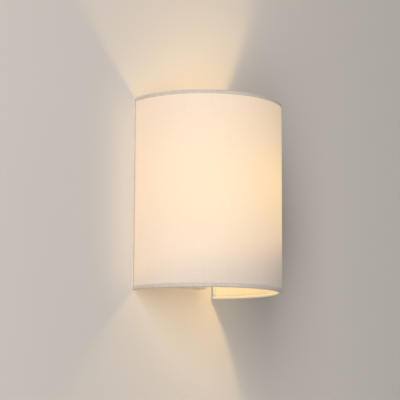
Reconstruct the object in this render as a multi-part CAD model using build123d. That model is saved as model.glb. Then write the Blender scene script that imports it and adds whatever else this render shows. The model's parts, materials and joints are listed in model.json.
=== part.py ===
from build123d import *

import os
from math import acos, cos, degrees, radians, sin, tan

# A wall light with a part-cylinder fabric shade, in millimetres. The origin is on the wall, at the
# centre of the wall bracket's back. +Z is up and -Y points out into the room, so the wall is Y = 0.
# Angles round the shade are measured from its front, positive towards +X.

# ---------------------------------------------------------------- driving dimensions

# shade
SHADE_RADIUS = 82.5  # to the outside of the cover
SHADE_HEIGHT = 200.0  # over the rolled edges
SHADE_AXIS_OUT = 38.0  # from the wall to the axis that the shade curves about
SHADE_WALL_GAP = 0.5
COVER_THICK = 0.5
LINER_THICK = 1.0
GLUE_LINE = 0.05
WIRE_DIA = 2.5  # ring wires and upright rods
WIRE_GAP = 0.1
TRIM_THICK = 0.6
TRIM_TALL = 4.0
TRIM_ROUND = 1.0

# straps that carry the shade on the wall plate
STRAP_THICK = 1.5
STRAP_TALL = 12.0
STRAP_SIDE_GAP = 3.0  # from the pan's side to the strap's first bend
STRAP_SLOPE = 8.0  # sideways reach of the sloping stretch
STRAP_BEND = 3.0
STRAP_HOLE_GAP = 0.3

# thumbscrews and the inserts that they turn in
THUMB_INSET = 20.0  # from the pan's ends to the thumbscrews
THUMB_DIA = 4.0
THUMB_LENGTH = 11.0
THUMB_HEAD_DIA = 14.0
THUMB_HEAD_TALL = 8.0
THUMB_HEAD_CHAMFER = 0.8
THUMB_FLUTES = 24
THUMB_FLUTE_DIA = 1.1
CLIP_DIA = 8.0
CLIP_THICK = 0.8
INSERT_DIA = 6.0
INSERT_LENGTH = 9.0
INSERT_FLANGE_DIA = 9.0
INSERT_FLANGE_THICK = 0.8
RUNNING_GAP = 0.05  # radial, a thumbscrew in its insert

# wall plate, a pressed pan
PAN_WIDTH = 87.0
PAN_INSET = 8.0  # from the shade's ends to the pan's
PAN_DEPTH = 14.0
PAN_SHEET = 1.0
PAN_CORNER = 3.0
PAN_EDGE = 1.5

# wall bracket
BRACKET_WIDTH = 36.0
BRACKET_THICK = 2.0
BRACKET_END_GAP = 2.0
BRACKET_CORNER = 4.0
WALL_SCREW_SPACING = 100.0
SLOT_LENGTH = 12.0
SLOT_WIDTH = 5.0
CABLE_HOLE_DIA = 10.0
CABLE_HOLE_GAP = 5.0  # between the cable hole and the upper wall slot
PLATE_SCREW_INSET = 9.0  # from the pan's ends to its screws
PILLAR_DIA = 8.0
SPIGOT_DIA = 5.6
SPIGOT_SHY = 0.2  # how far spigots and screw tips stop short of the wall

# small fasteners
FIT_GAP = 0.05  # radial, screws in tapped holes and sleeves in their seats
M4_DIA = 4.0
M4_HEAD_DIA = 7.0
M4_HEAD_TALL = 2.2
M4_NUT_FLATS = 7.0
M4_NUT_TALL = 3.2
M3_DIA = 3.0
M3_HEAD_DIA = 5.5
M3_HEAD_TALL = 1.8
M3_NUT_FLATS = 5.5
M3_NUT_TALL = 2.4
SCREW_TAIL = 1.5  # how far a bolt stands out of its nut
SCREW_CHAMFER = 0.3
HEAD_ROUND_SHARE = 0.33  # of a screw head's height
PLATE_SCREW_LENGTH = 7.0
PILLAR_BORE_SPARE = 1.0  # depth of a pillar's bore beyond its screw
RECESS_SHARE = 0.6  # cross recess across the head
RECESS_WIDTH = 0.8
RECESS_DEPTH = 1.0

# terminal block
POLE_PITCH = 10.0
POLES = 3
BLOCK_MARGIN = 1.0
BLOCK_LENGTH = 16.0
BLOCK_TALL = 10.0
BLOCK_Z = 16.0
BLOCK_ROUND = 1.0
SLEEVE_DIA = 5.0
SLEEVE_BORE = 3.0
SLEEVE_LENGTH = 14.4
SLEEVE_OUT = 7.0  # from the wall to the sleeves' axes
CLAMP_SCREW_DIA = 2.6
CLAMP_SCREW_PITCH = 8.0
CLAMP_SHY = 0.5  # how far the clamp screws lie below the block's face
CLAMP_SLOT_WIDTH = 0.4
CLAMP_SLOT_DEPTH = 0.5
BLOCK_SCREW_SHY = 1.5

# leads
LEAD_DIA = 2.2
LEAD_PAIR = 3.2  # spacing of the two leads in the grommet
LEAD_INSERT = 5.0  # length inside a sleeve, and straight below it
LEAD_CLEAR = 0.15  # between a lead and the screw that clamps it
EARTH_DROP = 10.0  # height over which the earth lead turns back to the bracket
LEAD_DROP_OUT = 25.0  # from the wall to the stretch that hangs in front of the arm
GROMMET_Z = -12.0
GROMMET_BORE = 7.0
GROMMET_NECK = 9.0
GROMMET_DIA = 12.0
GROMMET_FLANGE = 1.2
EARTH_SCREW_Z = -26.0
EARTH_TAG_DIA = 8.0
EARTH_TAG_THICK = 0.8
EARTH_BARREL_WALL = 0.6
EARTH_BARREL_LENGTH = 5.5
EARTH_BARREL_CLEAR = 0.1  # between the barrel and the bracket
EARTH_REACH = 5.5  # from the tag's hole to its barrel

# lamp arm
LAMP_OUT = 54.0  # from the wall to the lamp's axis
ARM_TOP_Z = -46.0
ARM_WIDTH = 26.0
ARM_THICK = 2.0
ARM_BEND = 3.0
ARM_LEG_TALL = 26.0
ARM_TIP = 17.0  # beyond the lamp's axis
ARM_TIP_ROUND = 6.5
ARM_SCREW_SPREAD = 14.0
ARM_SCREW_UP = 16.0

# lampholder
HOLDER_DIA = 42.0
HOLDER_TALL = 44.0
HOLDER_ROUND = 2.0
HOLDER_BORE = 28.2
HOLDER_FLOOR = 16.0
HOLDER_SCREW_SPREAD = 18.0
SHELL_WALL = 0.5
SHELL_BOTTOM = 18.0  # above the holder's base
SHELL_LENGTH = 21.0
POCKET_WIDTH = 10.2
POCKET_RIB = 1.5
POCKET_LOW = 3.0
POCKET_HIGH = 19.0
POCKET_DEPTH = 4.4
CONTACT_THICK = 0.6
PLATE_THICK = 0.8
PLATE_WIDE = 8.5
CONTACT_PLAY = 0.2  # round a contact in its pocket and its slit
TONGUE_WIDTH = 4.0
TONGUE_DISC = 9.0
BUTTON_DIA = 4.5
CONTACT_SCREW_X = 6.8
CONTACT_SCREW_UP = 7.6
CONTACT_SCREW_LENGTH = 6.0

# lamp: golf-ball globe on a screw cap
GLOBE_DIA = 45.0
GLOBE_WALL = 1.2
LAMP_ABOVE_RIM = 2.0  # the cap's top, above the holder's rim
LAMP_LIGHT_LENGTH = 52.0  # from the cap's top to the globe's top
HOUSING_TALL = 18.0
HOUSING_WALL = 1.2
HOUSING_FOOT_DIA = 27.6
CAP_CREST_DIA = 26.4
CAP_ROOT_DIA = 25.0
CAP_INNER_DIA = 24.0
CAP_PITCH = 3.629
CAP_RIDGES = 5
CAP_LENGTH = 22.0
CAP_LIP = 1.0
INSULATOR_TALL = 3.6
INSULATOR_TIP_DIA = 11.0
PIP_DIA = 9.0
PIP_TALL = 1.4
PIP_ROUND = 0.5
CONTACT_GAP = 0.3  # between the lamp's contact and the tongue under it
BOARD_THICK = 1.2
BOARD_GAP = 0.2
BOARD_PLAY = 1.0  # radial, in the housing
DIODES = 8
DIODE_SIZE = 2.8
DIODE_TALL = 0.7
DIODE_CIRCLE = 22.0
DRIVER_GAP = 0.3

# ---------------------------------------------------------------- worked-out places

COVER_IN = SHADE_RADIUS - COVER_THICK
LINER_OUT = COVER_IN - GLUE_LINE
LINER_IN = LINER_OUT - LINER_THICK
WIRE_RADIUS = WIRE_DIA / 2
WIRE_CIRCLE = LINER_IN - WIRE_GAP - WIRE_RADIUS
TRIM_OUT = SHADE_RADIUS + GLUE_LINE + TRIM_THICK
TRIM_IN = WIRE_CIRCLE - WIRE_RADIUS - WIRE_GAP - TRIM_THICK
SHADE_TOP = SHADE_HEIGHT / 2
SHEET_TOP = SHADE_TOP - TRIM_THICK - GLUE_LINE
RING_Z = SHEET_TOP - WIRE_RADIUS
TRIM_END = 180 - degrees(acos((SHADE_AXIS_OUT - SHADE_WALL_GAP) / TRIM_OUT))
SHEET_END = TRIM_END - degrees((TRIM_THICK + GLUE_LINE) / SHADE_RADIUS)
ROD_ANGLE = TRIM_END - degrees((TRIM_THICK + GLUE_LINE + WIRE_RADIUS) / WIRE_CIRCLE)
ROD_X = WIRE_CIRCLE * sin(radians(ROD_ANGLE))
ROD_Y = -SHADE_AXIS_OUT - WIRE_CIRCLE * cos(radians(ROD_ANGLE))

PAN_HEIGHT = SHADE_HEIGHT - 2 * PAN_INSET
PAN_FRONT = -PAN_DEPTH
PAN_INNER = PAN_FRONT + PAN_SHEET
BRACKET_FRONT = -BRACKET_THICK
UPPER_SLOT_LOW_Z = (WALL_SCREW_SPACING - SLOT_LENGTH) / 2
CABLE_HOLE_Z = UPPER_SLOT_LOW_Z - CABLE_HOLE_GAP - CABLE_HOLE_DIA / 2
BRACKET_HALF = PAN_HEIGHT / 2 - PAN_SHEET - BRACKET_END_GAP
INSERT_FRONT = PAN_FRONT - INSERT_FLANGE_THICK
STRAP_BACK = INSERT_FRONT - CLIP_THICK
STRAP_FRONT = STRAP_BACK - STRAP_THICK
STRAP_MID = (STRAP_BACK + STRAP_FRONT) / 2
THUMB_Z = PAN_HEIGHT / 2 - THUMB_INSET
PLATE_SCREW_Z = PAN_HEIGHT / 2 - PLATE_SCREW_INSET

LAMP_Y = -LAMP_OUT
HOLDER_BASE_Z = ARM_TOP_Z
HOLDER_RIM_Z = HOLDER_BASE_Z + HOLDER_TALL
FLOOR_Z = HOLDER_BASE_Z + HOLDER_FLOOR
SHELL_LOW_Z = HOLDER_BASE_Z + SHELL_BOTTOM
CAP_TOP_Z = HOLDER_RIM_Z + LAMP_ABOVE_RIM
CAP_LOW_Z = CAP_TOP_Z - CAP_LENGTH
PIP_TOP_Z = CAP_LOW_Z - INSULATOR_TALL
PIP_LOW_Z = PIP_TOP_Z - PIP_TALL
GLOBE_RADIUS = GLOBE_DIA / 2
GLOBE_Z = CAP_TOP_Z + LAMP_LIGHT_LENGTH - GLOBE_RADIUS
HOUSING_TOP_Z = CAP_TOP_Z + HOUSING_TALL
HOUSING_TOP_RADIUS = (GLOBE_RADIUS**2 - (GLOBE_Z - HOUSING_TOP_Z) ** 2) ** 0.5
POCKET_FLOOR = LAMP_Y + HOLDER_DIA / 2 - POCKET_DEPTH
PLATE_FACE = POCKET_FLOOR + PLATE_THICK
CONTACT_SCREW_Z = HOLDER_BASE_Z + CONTACT_SCREW_UP
LEAD_END_Z = CONTACT_SCREW_Z + M3_HEAD_DIA / 2 + LEAD_DIA / 2 + LEAD_CLEAR
EARTH_LEAD_Y = BRACKET_FRONT - LEAD_DIA / 2 - FIT_GAP - EARTH_BARREL_WALL - EARTH_BARREL_CLEAR
SLEEVE_Y = -SLEEVE_OUT


# ---------------------------------------------------------------- helpers


def block(x, y, z):
    """A box between two limits on each axis."""
    centre = Pos(sum(x) / 2, sum(y) / 2, sum(z) / 2)
    return centre * Box(abs(x[1] - x[0]), abs(y[1] - y[0]), abs(z[1] - z[0]))


def rod_y(dia, x, z, y_from, y_to):
    """A round bar along Y."""
    bar = Cylinder(dia / 2, abs(y_to - y_from))
    return Pos(x, (y_from + y_to) / 2, z) * Rot(90, 0, 0) * bar


def rod_z(dia, x, y, z_from, z_to):
    """A round bar along Z."""
    return Pos(x, y, (z_from + z_to) / 2) * Cylinder(dia / 2, abs(z_to - z_from))


def tube_y(dia, bore, x, z, y_from, y_to):
    """A round tube along Y."""
    return rod_y(dia, x, z, y_from, y_to) - rod_y(bore, x, z, y_from, y_to)


def ring_section(radii, heights):
    """A rectangle in the plane that shows radius to the right and height up."""
    centre = Pos(sum(radii) / 2, sum(heights) / 2)
    return Plane.XZ * centre * Rectangle(radii[1] - radii[0], heights[1] - heights[0])


def round_shade(section, start, stop):
    """A section turned about the shade's axis, from one angle to another."""
    turned = revolve(section, Axis.Z, stop - start)
    return Pos(0, -SHADE_AXIS_OUT, 0) * Rot(0, 0, start - 90) * turned


def round_lamp(outline):
    """A closed outline of radius and height, turned about the lamp's axis."""
    return Pos(0, LAMP_Y, 0) * revolve(make_face(Plane.XZ * outline), Axis.Z, 360)


def upside_down(shape):
    """The same piece at the shade's other end."""
    return mirror(shape, about=Plane.XY)


def other_side(shape):
    """The same piece on the other side of the centre line."""
    return mirror(shape, about=Plane.YZ)


def screw(dia, length, head_dia, head_tall):
    """A screw with a rounded head and a cross recess. The head stands on Z = 0, the shank hangs down."""
    head = Pos(0, 0, head_tall / 2) * Cylinder(head_dia / 2, head_tall)
    head = fillet(head.edges().group_by(Axis.Z)[-1], HEAD_ROUND_SHARE * head_tall)
    for angle in (0, 90):
        slot = Box(head_dia * RECESS_SHARE, RECESS_WIDTH, 2 * RECESS_DEPTH)
        head -= Pos(0, 0, head_tall) * Rot(0, 0, angle) * slot
    shank = Pos(0, 0, -length / 2) * Cylinder(dia / 2, length)
    shank = chamfer(shank.edges().group_by(Axis.Z)[0], SCREW_CHAMFER)
    return head + shank


def m4_screw(length):
    """An M4 screw."""
    return screw(M4_DIA, length, M4_HEAD_DIA, M4_HEAD_TALL)


def m3_screw(length):
    """An M3 screw."""
    return screw(M3_DIA, length, M3_HEAD_DIA, M3_HEAD_TALL)


def nut(flats, dia, tall):
    """A hexagon nut on Z = 0."""
    hexagon = RegularPolygon(flats / 2, 6, major_radius=False)
    return extrude(hexagon, tall) - Pos(0, 0, tall / 2) * Cylinder(dia / 2 + FIT_GAP, tall)


def lead(points, corner_share=0.45):
    """A round lead along straight runs joined by tangent arcs as large as the runs allow."""
    radii = []
    for before, here, after in zip(points, points[1:], points[2:]):
        run_in = Vector(here) - Vector(before)
        run_out = Vector(after) - Vector(here)
        half_turn = radians(run_in.get_angle(run_out)) / 2
        radii.append(corner_share * min(run_in.length, run_out.length) / tan(half_turn))
    path = FilletPolyline(*points, radius=radii)
    print("lead of", round(path.length, 1), "mm, radii", [round(r, 1) for r in radii])
    return sweep(Plane(path @ 0, z_dir=path % 0) * Circle(LEAD_DIA / 2), path=path)


# ---------------------------------------------------------------- shade


def shade_sheet(radii):
    """A curved sheet that reaches into all four rolled edges."""
    return round_shade(ring_section(radii, (-SHEET_TOP, SHEET_TOP)), -SHEET_END, SHEET_END)


def top_trim():
    """The upper rolled edge: a channel over both sheets and the ring wire, closed at its ends."""
    section = ring_section((TRIM_IN, TRIM_OUT), (SHADE_TOP - TRIM_TALL, SHADE_TOP))
    section = fillet(section.vertices().group_by(Axis.Z)[-1], TRIM_ROUND)
    hollow = ring_section(
        (TRIM_IN + TRIM_THICK, TRIM_OUT - TRIM_THICK),
        (SHADE_TOP - TRIM_TALL - TRIM_THICK, SHADE_TOP - TRIM_THICK),
    )
    hollow_end = TRIM_END - degrees(TRIM_THICK / SHADE_RADIUS)
    return round_shade(section, -TRIM_END, TRIM_END) - round_shade(hollow, -hollow_end, hollow_end)


def right_trim():
    """The rolled edge at the right-hand end, slit where the two straps pass to their rod."""
    tall = SHADE_TOP - TRIM_TALL - GLUE_LINE
    start = TRIM_END - degrees(TRIM_TALL / SHADE_RADIUS)
    hollow_end = TRIM_END - degrees(TRIM_THICK / SHADE_RADIUS)
    section = ring_section((TRIM_IN, TRIM_OUT), (-tall, tall))
    hollow = ring_section((TRIM_IN + TRIM_THICK, TRIM_OUT - TRIM_THICK), (-tall, tall))
    trim = round_shade(section, start, TRIM_END)
    outer_corner = trim.edges().filter_by(Axis.Z).sort_by(Axis.Y)[-1]
    trim = fillet(outer_corner, TRIM_ROUND)
    trim -= round_shade(hollow, 0, hollow_end)
    half_slit = STRAP_TALL / 2 + GLUE_LINE
    for z in (-THUMB_Z, THUMB_Z):
        trim -= block(
            (PAN_WIDTH / 2, ROD_X),
            (ROD_Y - STRAP_THICK / 2 - GLUE_LINE, ROD_Y + STRAP_THICK / 2 + GLUE_LINE),
            (z - half_slit, z + half_slit),
        )
    return trim


def top_ring():
    """The upper ring wire, from rod to rod."""
    section = Plane.XZ * Pos(WIRE_CIRCLE, RING_Z) * Circle(WIRE_RADIUS)
    end = ROD_ANGLE - degrees((WIRE_RADIUS + WIRE_GAP) / WIRE_CIRCLE)
    return round_shade(section, -end, end)


def right_rod():
    """The upright wire at the right-hand end."""
    return rod_z(WIRE_DIA, ROD_X, ROD_Y, -SHEET_TOP, SHEET_TOP)


def upper_strap():
    """A flat strap from rod to rod that steps forward over the pan, with a hole for its thumbscrew."""
    tip_x = ROD_X - WIRE_RADIUS - WIRE_GAP
    front_x = PAN_WIDTH / 2 + STRAP_SIDE_GAP
    half = [(front_x, STRAP_MID), (front_x + STRAP_SLOPE, ROD_Y), (tip_x, ROD_Y)]
    points = [(-x, y, THUMB_Z) for x, y in reversed(half)] + [(x, y, THUMB_Z) for x, y in half]
    path = FilletPolyline(*points, radius=STRAP_BEND)
    start = Plane(path @ 0, x_dir=(0, 0, 1), z_dir=path % 0)
    strap = sweep(start * Rectangle(STRAP_TALL, STRAP_THICK), path=path)
    hole = THUMB_DIA + 2 * STRAP_HOLE_GAP
    return strap - rod_y(hole, 0, THUMB_Z, STRAP_BACK, STRAP_FRONT)


def upper_thumbscrew():
    """A fluted head on a plain shank that reaches into its insert."""
    head = rod_y(THUMB_HEAD_DIA, 0, THUMB_Z, STRAP_FRONT, STRAP_FRONT - THUMB_HEAD_TALL)
    head = chamfer(head.edges().filter_by(GeomType.CIRCLE), THUMB_HEAD_CHAMFER)
    for flute in range(THUMB_FLUTES):
        angle = radians(360 / THUMB_FLUTES * flute)
        x = THUMB_HEAD_DIA / 2 * cos(angle)
        z = THUMB_Z + THUMB_HEAD_DIA / 2 * sin(angle)
        head -= rod_y(THUMB_FLUTE_DIA, x, z, STRAP_FRONT, STRAP_FRONT - THUMB_HEAD_TALL)
    shank = rod_y(THUMB_DIA, 0, THUMB_Z, STRAP_FRONT, STRAP_FRONT + THUMB_LENGTH)
    shank = chamfer(shank.edges().group_by(Axis.Y)[-1], SCREW_CHAMFER)
    return head + shank


def upper_screw_ring():
    """The retaining ring behind the strap, snapped on the thumbscrew's shank."""
    return tube_y(CLIP_DIA, THUMB_DIA + 2 * FIT_GAP, 0, THUMB_Z, STRAP_BACK, INSERT_FRONT)


# ---------------------------------------------------------------- wall plate and bracket


def pressed_box(width, height, front, corner, edge):
    """A box from the wall to a front face, with rounded corners and front edges."""
    box = block((-width / 2, width / 2), (front, 0), (-height / 2, height / 2))
    box = fillet(box.edges().filter_by(Axis.Y), corner)
    return fillet(box.edges().group_by(Axis.Y)[0], edge)


def plate_holes_z():
    """Heights of the screws that hold the pan to the bracket."""
    return (-PLATE_SCREW_Z, PLATE_SCREW_Z)


def arm_holes():
    """Places of the screws that hold the arm to the pan, as X and Z."""
    z = ARM_TOP_Z + ARM_SCREW_UP
    return [(side * ARM_SCREW_SPREAD / 2, z) for side in (-1, 1)]


def back_plate():
    """The pan: open towards the wall, pierced for its screws, inserts, grommet and arm."""
    pan = pressed_box(PAN_WIDTH, PAN_HEIGHT, PAN_FRONT, PAN_CORNER, PAN_EDGE)
    pan -= pressed_box(
        PAN_WIDTH - 2 * PAN_SHEET,
        PAN_HEIGHT - 2 * PAN_SHEET,
        PAN_INNER,
        PAN_CORNER - PAN_SHEET,
        PAN_EDGE - PAN_SHEET,
    )
    holes = [(INSERT_DIA, 0, z) for z in (-THUMB_Z, THUMB_Z)]
    holes += [(M4_DIA, 0, z) for z in plate_holes_z()]
    holes += [(M4_DIA, x, z) for x, z in arm_holes()]
    holes += [(GROMMET_NECK, 0, GROMMET_Z)]
    for dia, x, z in holes:
        pan -= rod_y(dia + 2 * FIT_GAP, x, z, PAN_FRONT, PAN_INNER)
    return pan


def thumb_inserts():
    """Flanged inserts in the pan that the thumbscrews turn in."""
    bore = THUMB_DIA + 2 * RUNNING_GAP
    inserts = []
    for z in (-THUMB_Z, THUMB_Z):
        flange = rod_y(INSERT_FLANGE_DIA, 0, z, INSERT_FRONT, PAN_FRONT)
        body = rod_y(INSERT_DIA, 0, z, PAN_FRONT, INSERT_FRONT + INSERT_LENGTH)
        inserts.append(flange + body - rod_y(bore, 0, z, INSERT_FRONT, 0))
    return Compound(children=inserts)


def slot_y(z):
    """A slot through the bracket that runs up and down, about height Z."""
    straight = (SLOT_LENGTH - SLOT_WIDTH) / 2
    slot = block((-SLOT_WIDTH / 2, SLOT_WIDTH / 2), (BRACKET_FRONT, 0), (z - straight, z + straight))
    for end in (z - straight, z + straight):
        slot += rod_y(SLOT_WIDTH, 0, end, BRACKET_FRONT, 0)
    return slot


def wall_bracket():
    """A flat strip against the wall, with two wall slots, the cable hole and tapped holes."""
    strip = block(
        (-BRACKET_WIDTH / 2, BRACKET_WIDTH / 2),
        (BRACKET_FRONT, 0),
        (-BRACKET_HALF, BRACKET_HALF),
    )
    strip = fillet(strip.edges().filter_by(Axis.Y), BRACKET_CORNER)
    for z in (-WALL_SCREW_SPACING / 2, WALL_SCREW_SPACING / 2):
        strip -= slot_y(z)
    holes = [(CABLE_HOLE_DIA, 0, CABLE_HOLE_Z)]
    holes += [(M4_DIA + 2 * FIT_GAP, 0, EARTH_SCREW_Z)]
    holes += [(M3_DIA + 2 * FIT_GAP, POLE_PITCH / 2, BLOCK_Z)]
    holes += [(SPIGOT_DIA + 2 * FIT_GAP, 0, z) for z in plate_holes_z()]
    for dia, x, z in holes:
        strip -= rod_y(dia, x, z, BRACKET_FRONT, 0)
    return strip


def bracket_pillars():
    """Tapped pillars set in the bracket that hold the pan's screws."""
    pillars = []
    for z in plate_holes_z():
        pillar = rod_y(PILLAR_DIA, 0, z, PAN_INNER, BRACKET_FRONT)
        pillar += rod_y(SPIGOT_DIA, 0, z, BRACKET_FRONT, -SPIGOT_SHY)
        bore_end = PAN_FRONT + PLATE_SCREW_LENGTH + PILLAR_BORE_SPARE
        pillar -= rod_y(M4_DIA + 2 * FIT_GAP, 0, z, PAN_INNER, bore_end)
        pillars.append(pillar)
    return Compound(children=pillars)


def plate_screws():
    """Screws through the pan into the pillars."""
    turn = Rot(90, 0, 0)
    return Compound(
        children=[
            Pos(0, PAN_FRONT, z) * turn * m4_screw(PLATE_SCREW_LENGTH) for z in plate_holes_z()
        ]
    )


# ---------------------------------------------------------------- wiring


def pole_places():
    """X of each pole of the terminal block, from left to right."""
    return [(pole - (POLES - 1) / 2) * POLE_PITCH for pole in range(POLES)]


def clamp_places():
    """X and Z of each clamp screw."""
    return [(x, BLOCK_Z + side * CLAMP_SCREW_PITCH / 2) for x in pole_places() for side in (-1, 1)]


def terminal_block():
    """The block's housing, bored for sleeves, clamp screws and its fixing screw."""
    width = POLES * POLE_PITCH + 2 * BLOCK_MARGIN
    face = BRACKET_FRONT - BLOCK_TALL
    ends = (BLOCK_Z - BLOCK_LENGTH / 2, BLOCK_Z + BLOCK_LENGTH / 2)
    housing = block((-width / 2, width / 2), (face, BRACKET_FRONT), ends)
    housing = fillet(housing.edges().filter_by(Axis.Y), BLOCK_ROUND)
    for x in pole_places():
        housing -= rod_z(SLEEVE_DIA + 2 * FIT_GAP, x, SLEEVE_Y, *ends)
    for x, z in clamp_places():
        housing -= rod_y(CLAMP_SCREW_DIA + 2 * FIT_GAP, x, z, face, SLEEVE_Y)
    housing -= rod_y(M3_DIA + 2 * FIT_GAP, POLE_PITCH / 2, BLOCK_Z, face, BRACKET_FRONT)
    seat = face + BLOCK_SCREW_SHY + M3_HEAD_TALL
    return housing - rod_y(M3_HEAD_DIA + 2 * FIT_GAP, POLE_PITCH / 2, BLOCK_Z, face, seat)


def terminal_sleeves():
    """Brass sleeves, one for each pole, with cross holes for the clamp screws."""
    half = SLEEVE_LENGTH / 2
    sleeves = []
    for x in pole_places():
        sleeve = rod_z(SLEEVE_DIA, x, SLEEVE_Y, BLOCK_Z - half, BLOCK_Z + half)
        sleeve -= rod_z(SLEEVE_BORE, x, SLEEVE_Y, BLOCK_Z - half, BLOCK_Z + half)
        for side in (-1, 1):
            z = BLOCK_Z + side * CLAMP_SCREW_PITCH / 2
            sleeve -= rod_y(CLAMP_SCREW_DIA + 2 * FIT_GAP, x, z, SLEEVE_Y - SLEEVE_DIA, SLEEVE_Y)
        sleeves.append(sleeve)
    return Compound(children=sleeves)


def clamp_screws():
    """Headless screws that clamp the conductors in the sleeves."""
    face = BRACKET_FRONT - BLOCK_TALL + CLAMP_SHY
    tip = SLEEVE_Y - LEAD_DIA / 2 - FIT_GAP
    screws = []
    for x, z in clamp_places():
        slot = block(
            (x - CLAMP_SCREW_DIA / 2, x + CLAMP_SCREW_DIA / 2),
            (face, face + CLAMP_SLOT_DEPTH),
            (z - CLAMP_SLOT_WIDTH / 2, z + CLAMP_SLOT_WIDTH / 2),
        )
        screws.append(rod_y(CLAMP_SCREW_DIA, x, z, face, tip) - slot)
    return Compound(children=screws)


def block_screw():
    """The screw that holds the terminal block on the bracket."""
    seat = BRACKET_FRONT - BLOCK_TALL + BLOCK_SCREW_SHY + M3_HEAD_TALL
    length = -SPIGOT_SHY - seat
    return Pos(POLE_PITCH / 2, seat, BLOCK_Z) * Rot(90, 0, 0) * m3_screw(length)


def earth_tag():
    """A ring tag under the earth screw, with the barrel that holds the earth lead."""
    face = BRACKET_FRONT - EARTH_TAG_THICK
    barrel_dia = LEAD_DIA + 2 * FIT_GAP + 2 * EARTH_BARREL_WALL
    barrel_low = EARTH_SCREW_Z + EARTH_REACH
    ring = rod_y(EARTH_TAG_DIA, 0, EARTH_SCREW_Z, face, BRACKET_FRONT)
    neck = block(
        (-barrel_dia / 2, barrel_dia / 2),
        (face, BRACKET_FRONT),
        (EARTH_SCREW_Z, barrel_low + EARTH_BARREL_LENGTH),
    )
    barrel = rod_z(barrel_dia, 0, EARTH_LEAD_Y, barrel_low, barrel_low + EARTH_BARREL_LENGTH)
    tag = ring + neck + (barrel - block((-barrel_dia, barrel_dia), (BRACKET_FRONT, 0), (barrel_low, 0)))
    tag -= rod_z(LEAD_DIA + 2 * FIT_GAP, 0, EARTH_LEAD_Y, barrel_low, 0)
    return tag - rod_y(M4_DIA + 2 * FIT_GAP, 0, EARTH_SCREW_Z, face, BRACKET_FRONT)


def earth_screw():
    """The screw that holds the earth tag on the bracket."""
    face = BRACKET_FRONT - EARTH_TAG_THICK
    return Pos(0, face, EARTH_SCREW_Z) * Rot(90, 0, 0) * m4_screw(-SPIGOT_SHY - face)


def lead_grommet():
    """A soft bush in the pan's front, with a flange on each side of the sheet."""
    bush = rod_y(GROMMET_NECK, 0, GROMMET_Z, PAN_FRONT, PAN_INNER)
    bush += rod_y(GROMMET_DIA, 0, GROMMET_Z, PAN_FRONT - GROMMET_FLANGE, PAN_FRONT)
    bush += rod_y(GROMMET_DIA, 0, GROMMET_Z, PAN_INNER, PAN_INNER + GROMMET_FLANGE)
    front = PAN_FRONT - GROMMET_FLANGE
    return bush - rod_y(GROMMET_BORE, 0, GROMMET_Z, front, PAN_INNER + GROMMET_FLANGE)


def lamp_lead(side):
    """A lead from its sleeve, out through the grommet and down to the lampholder's contact."""
    sleeve_low = BLOCK_Z - SLEEVE_LENGTH / 2
    pole_x = side * POLE_PITCH
    pair_x = side * LEAD_PAIR / 2
    return lead(
        [
            (pole_x, SLEEVE_Y, sleeve_low + LEAD_INSERT),
            (pole_x, SLEEVE_Y, sleeve_low - LEAD_INSERT),
            (pair_x, SLEEVE_Y, GROMMET_Z),
            (pair_x, -LEAD_DROP_OUT, GROMMET_Z),
            (side * CONTACT_SCREW_X, -LEAD_DROP_OUT, LEAD_END_Z),
            (side * CONTACT_SCREW_X, PLATE_FACE, LEAD_END_Z),
        ]
    )


def earth_lead():
    """The lead from the middle sleeve to the earth tag, behind the other two."""
    sleeve_low = BLOCK_Z - SLEEVE_LENGTH / 2
    barrel_low = EARTH_SCREW_Z + EARTH_REACH
    return lead(
        [
            (0, SLEEVE_Y, sleeve_low + LEAD_INSERT),
            (0, SLEEVE_Y, sleeve_low - LEAD_INSERT),
            (0, EARTH_LEAD_Y, sleeve_low - LEAD_INSERT - EARTH_DROP),
            (0, EARTH_LEAD_Y, barrel_low),
        ]
    )


# ---------------------------------------------------------------- lamp arm


def lamp_arm():
    """An angle of sheet steel: an upright leg on the pan and a shelf under the lampholder."""
    leg_y = PAN_FRONT - ARM_THICK / 2
    shelf_z = ARM_TOP_Z - ARM_THICK / 2
    points = [
        (0, leg_y, ARM_TOP_Z + ARM_LEG_TALL),
        (0, leg_y, shelf_z),
        (0, LAMP_Y - ARM_TIP, shelf_z),
    ]
    path = FilletPolyline(*points, radius=ARM_BEND)
    start = Plane(path @ 0, x_dir=(1, 0, 0), z_dir=path % 0)
    arm = sweep(start * Rectangle(ARM_WIDTH, ARM_THICK), path=path)
    tip_edges = arm.edges().filter_by(Axis.Z).group_by(Axis.Y)[0]
    arm = fillet(tip_edges, ARM_TIP_ROUND)
    for x, z in arm_holes():
        arm -= rod_y(M4_DIA + 2 * FIT_GAP, x, z, PAN_FRONT - ARM_THICK, PAN_FRONT)
    for x in holder_screw_places():
        arm -= rod_z(M3_DIA + 2 * FIT_GAP, x, LAMP_Y, ARM_TOP_Z - ARM_THICK, ARM_TOP_Z)
    return arm


def arm_screws():
    """Screws that hold the arm to the pan."""
    length = ARM_THICK + PAN_SHEET + M4_NUT_TALL + SCREW_TAIL
    face = PAN_FRONT - ARM_THICK
    return Compound(
        children=[Pos(x, face, z) * Rot(90, 0, 0) * m4_screw(length) for x, z in arm_holes()]
    )


def arm_nuts():
    """Nuts on the arm's screws, inside the pan."""
    hexagon = nut(M4_NUT_FLATS, M4_DIA, M4_NUT_TALL)
    return Compound(
        children=[Pos(x, PAN_INNER, z) * Rot(-90, 0, 0) * hexagon for x, z in arm_holes()]
    )


# ---------------------------------------------------------------- lampholder


def holder_screw_places():
    """X of the two screws that hold the lampholder on the arm."""
    return [side * HOLDER_SCREW_SPREAD / 2 for side in (-1, 1)]


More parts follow.
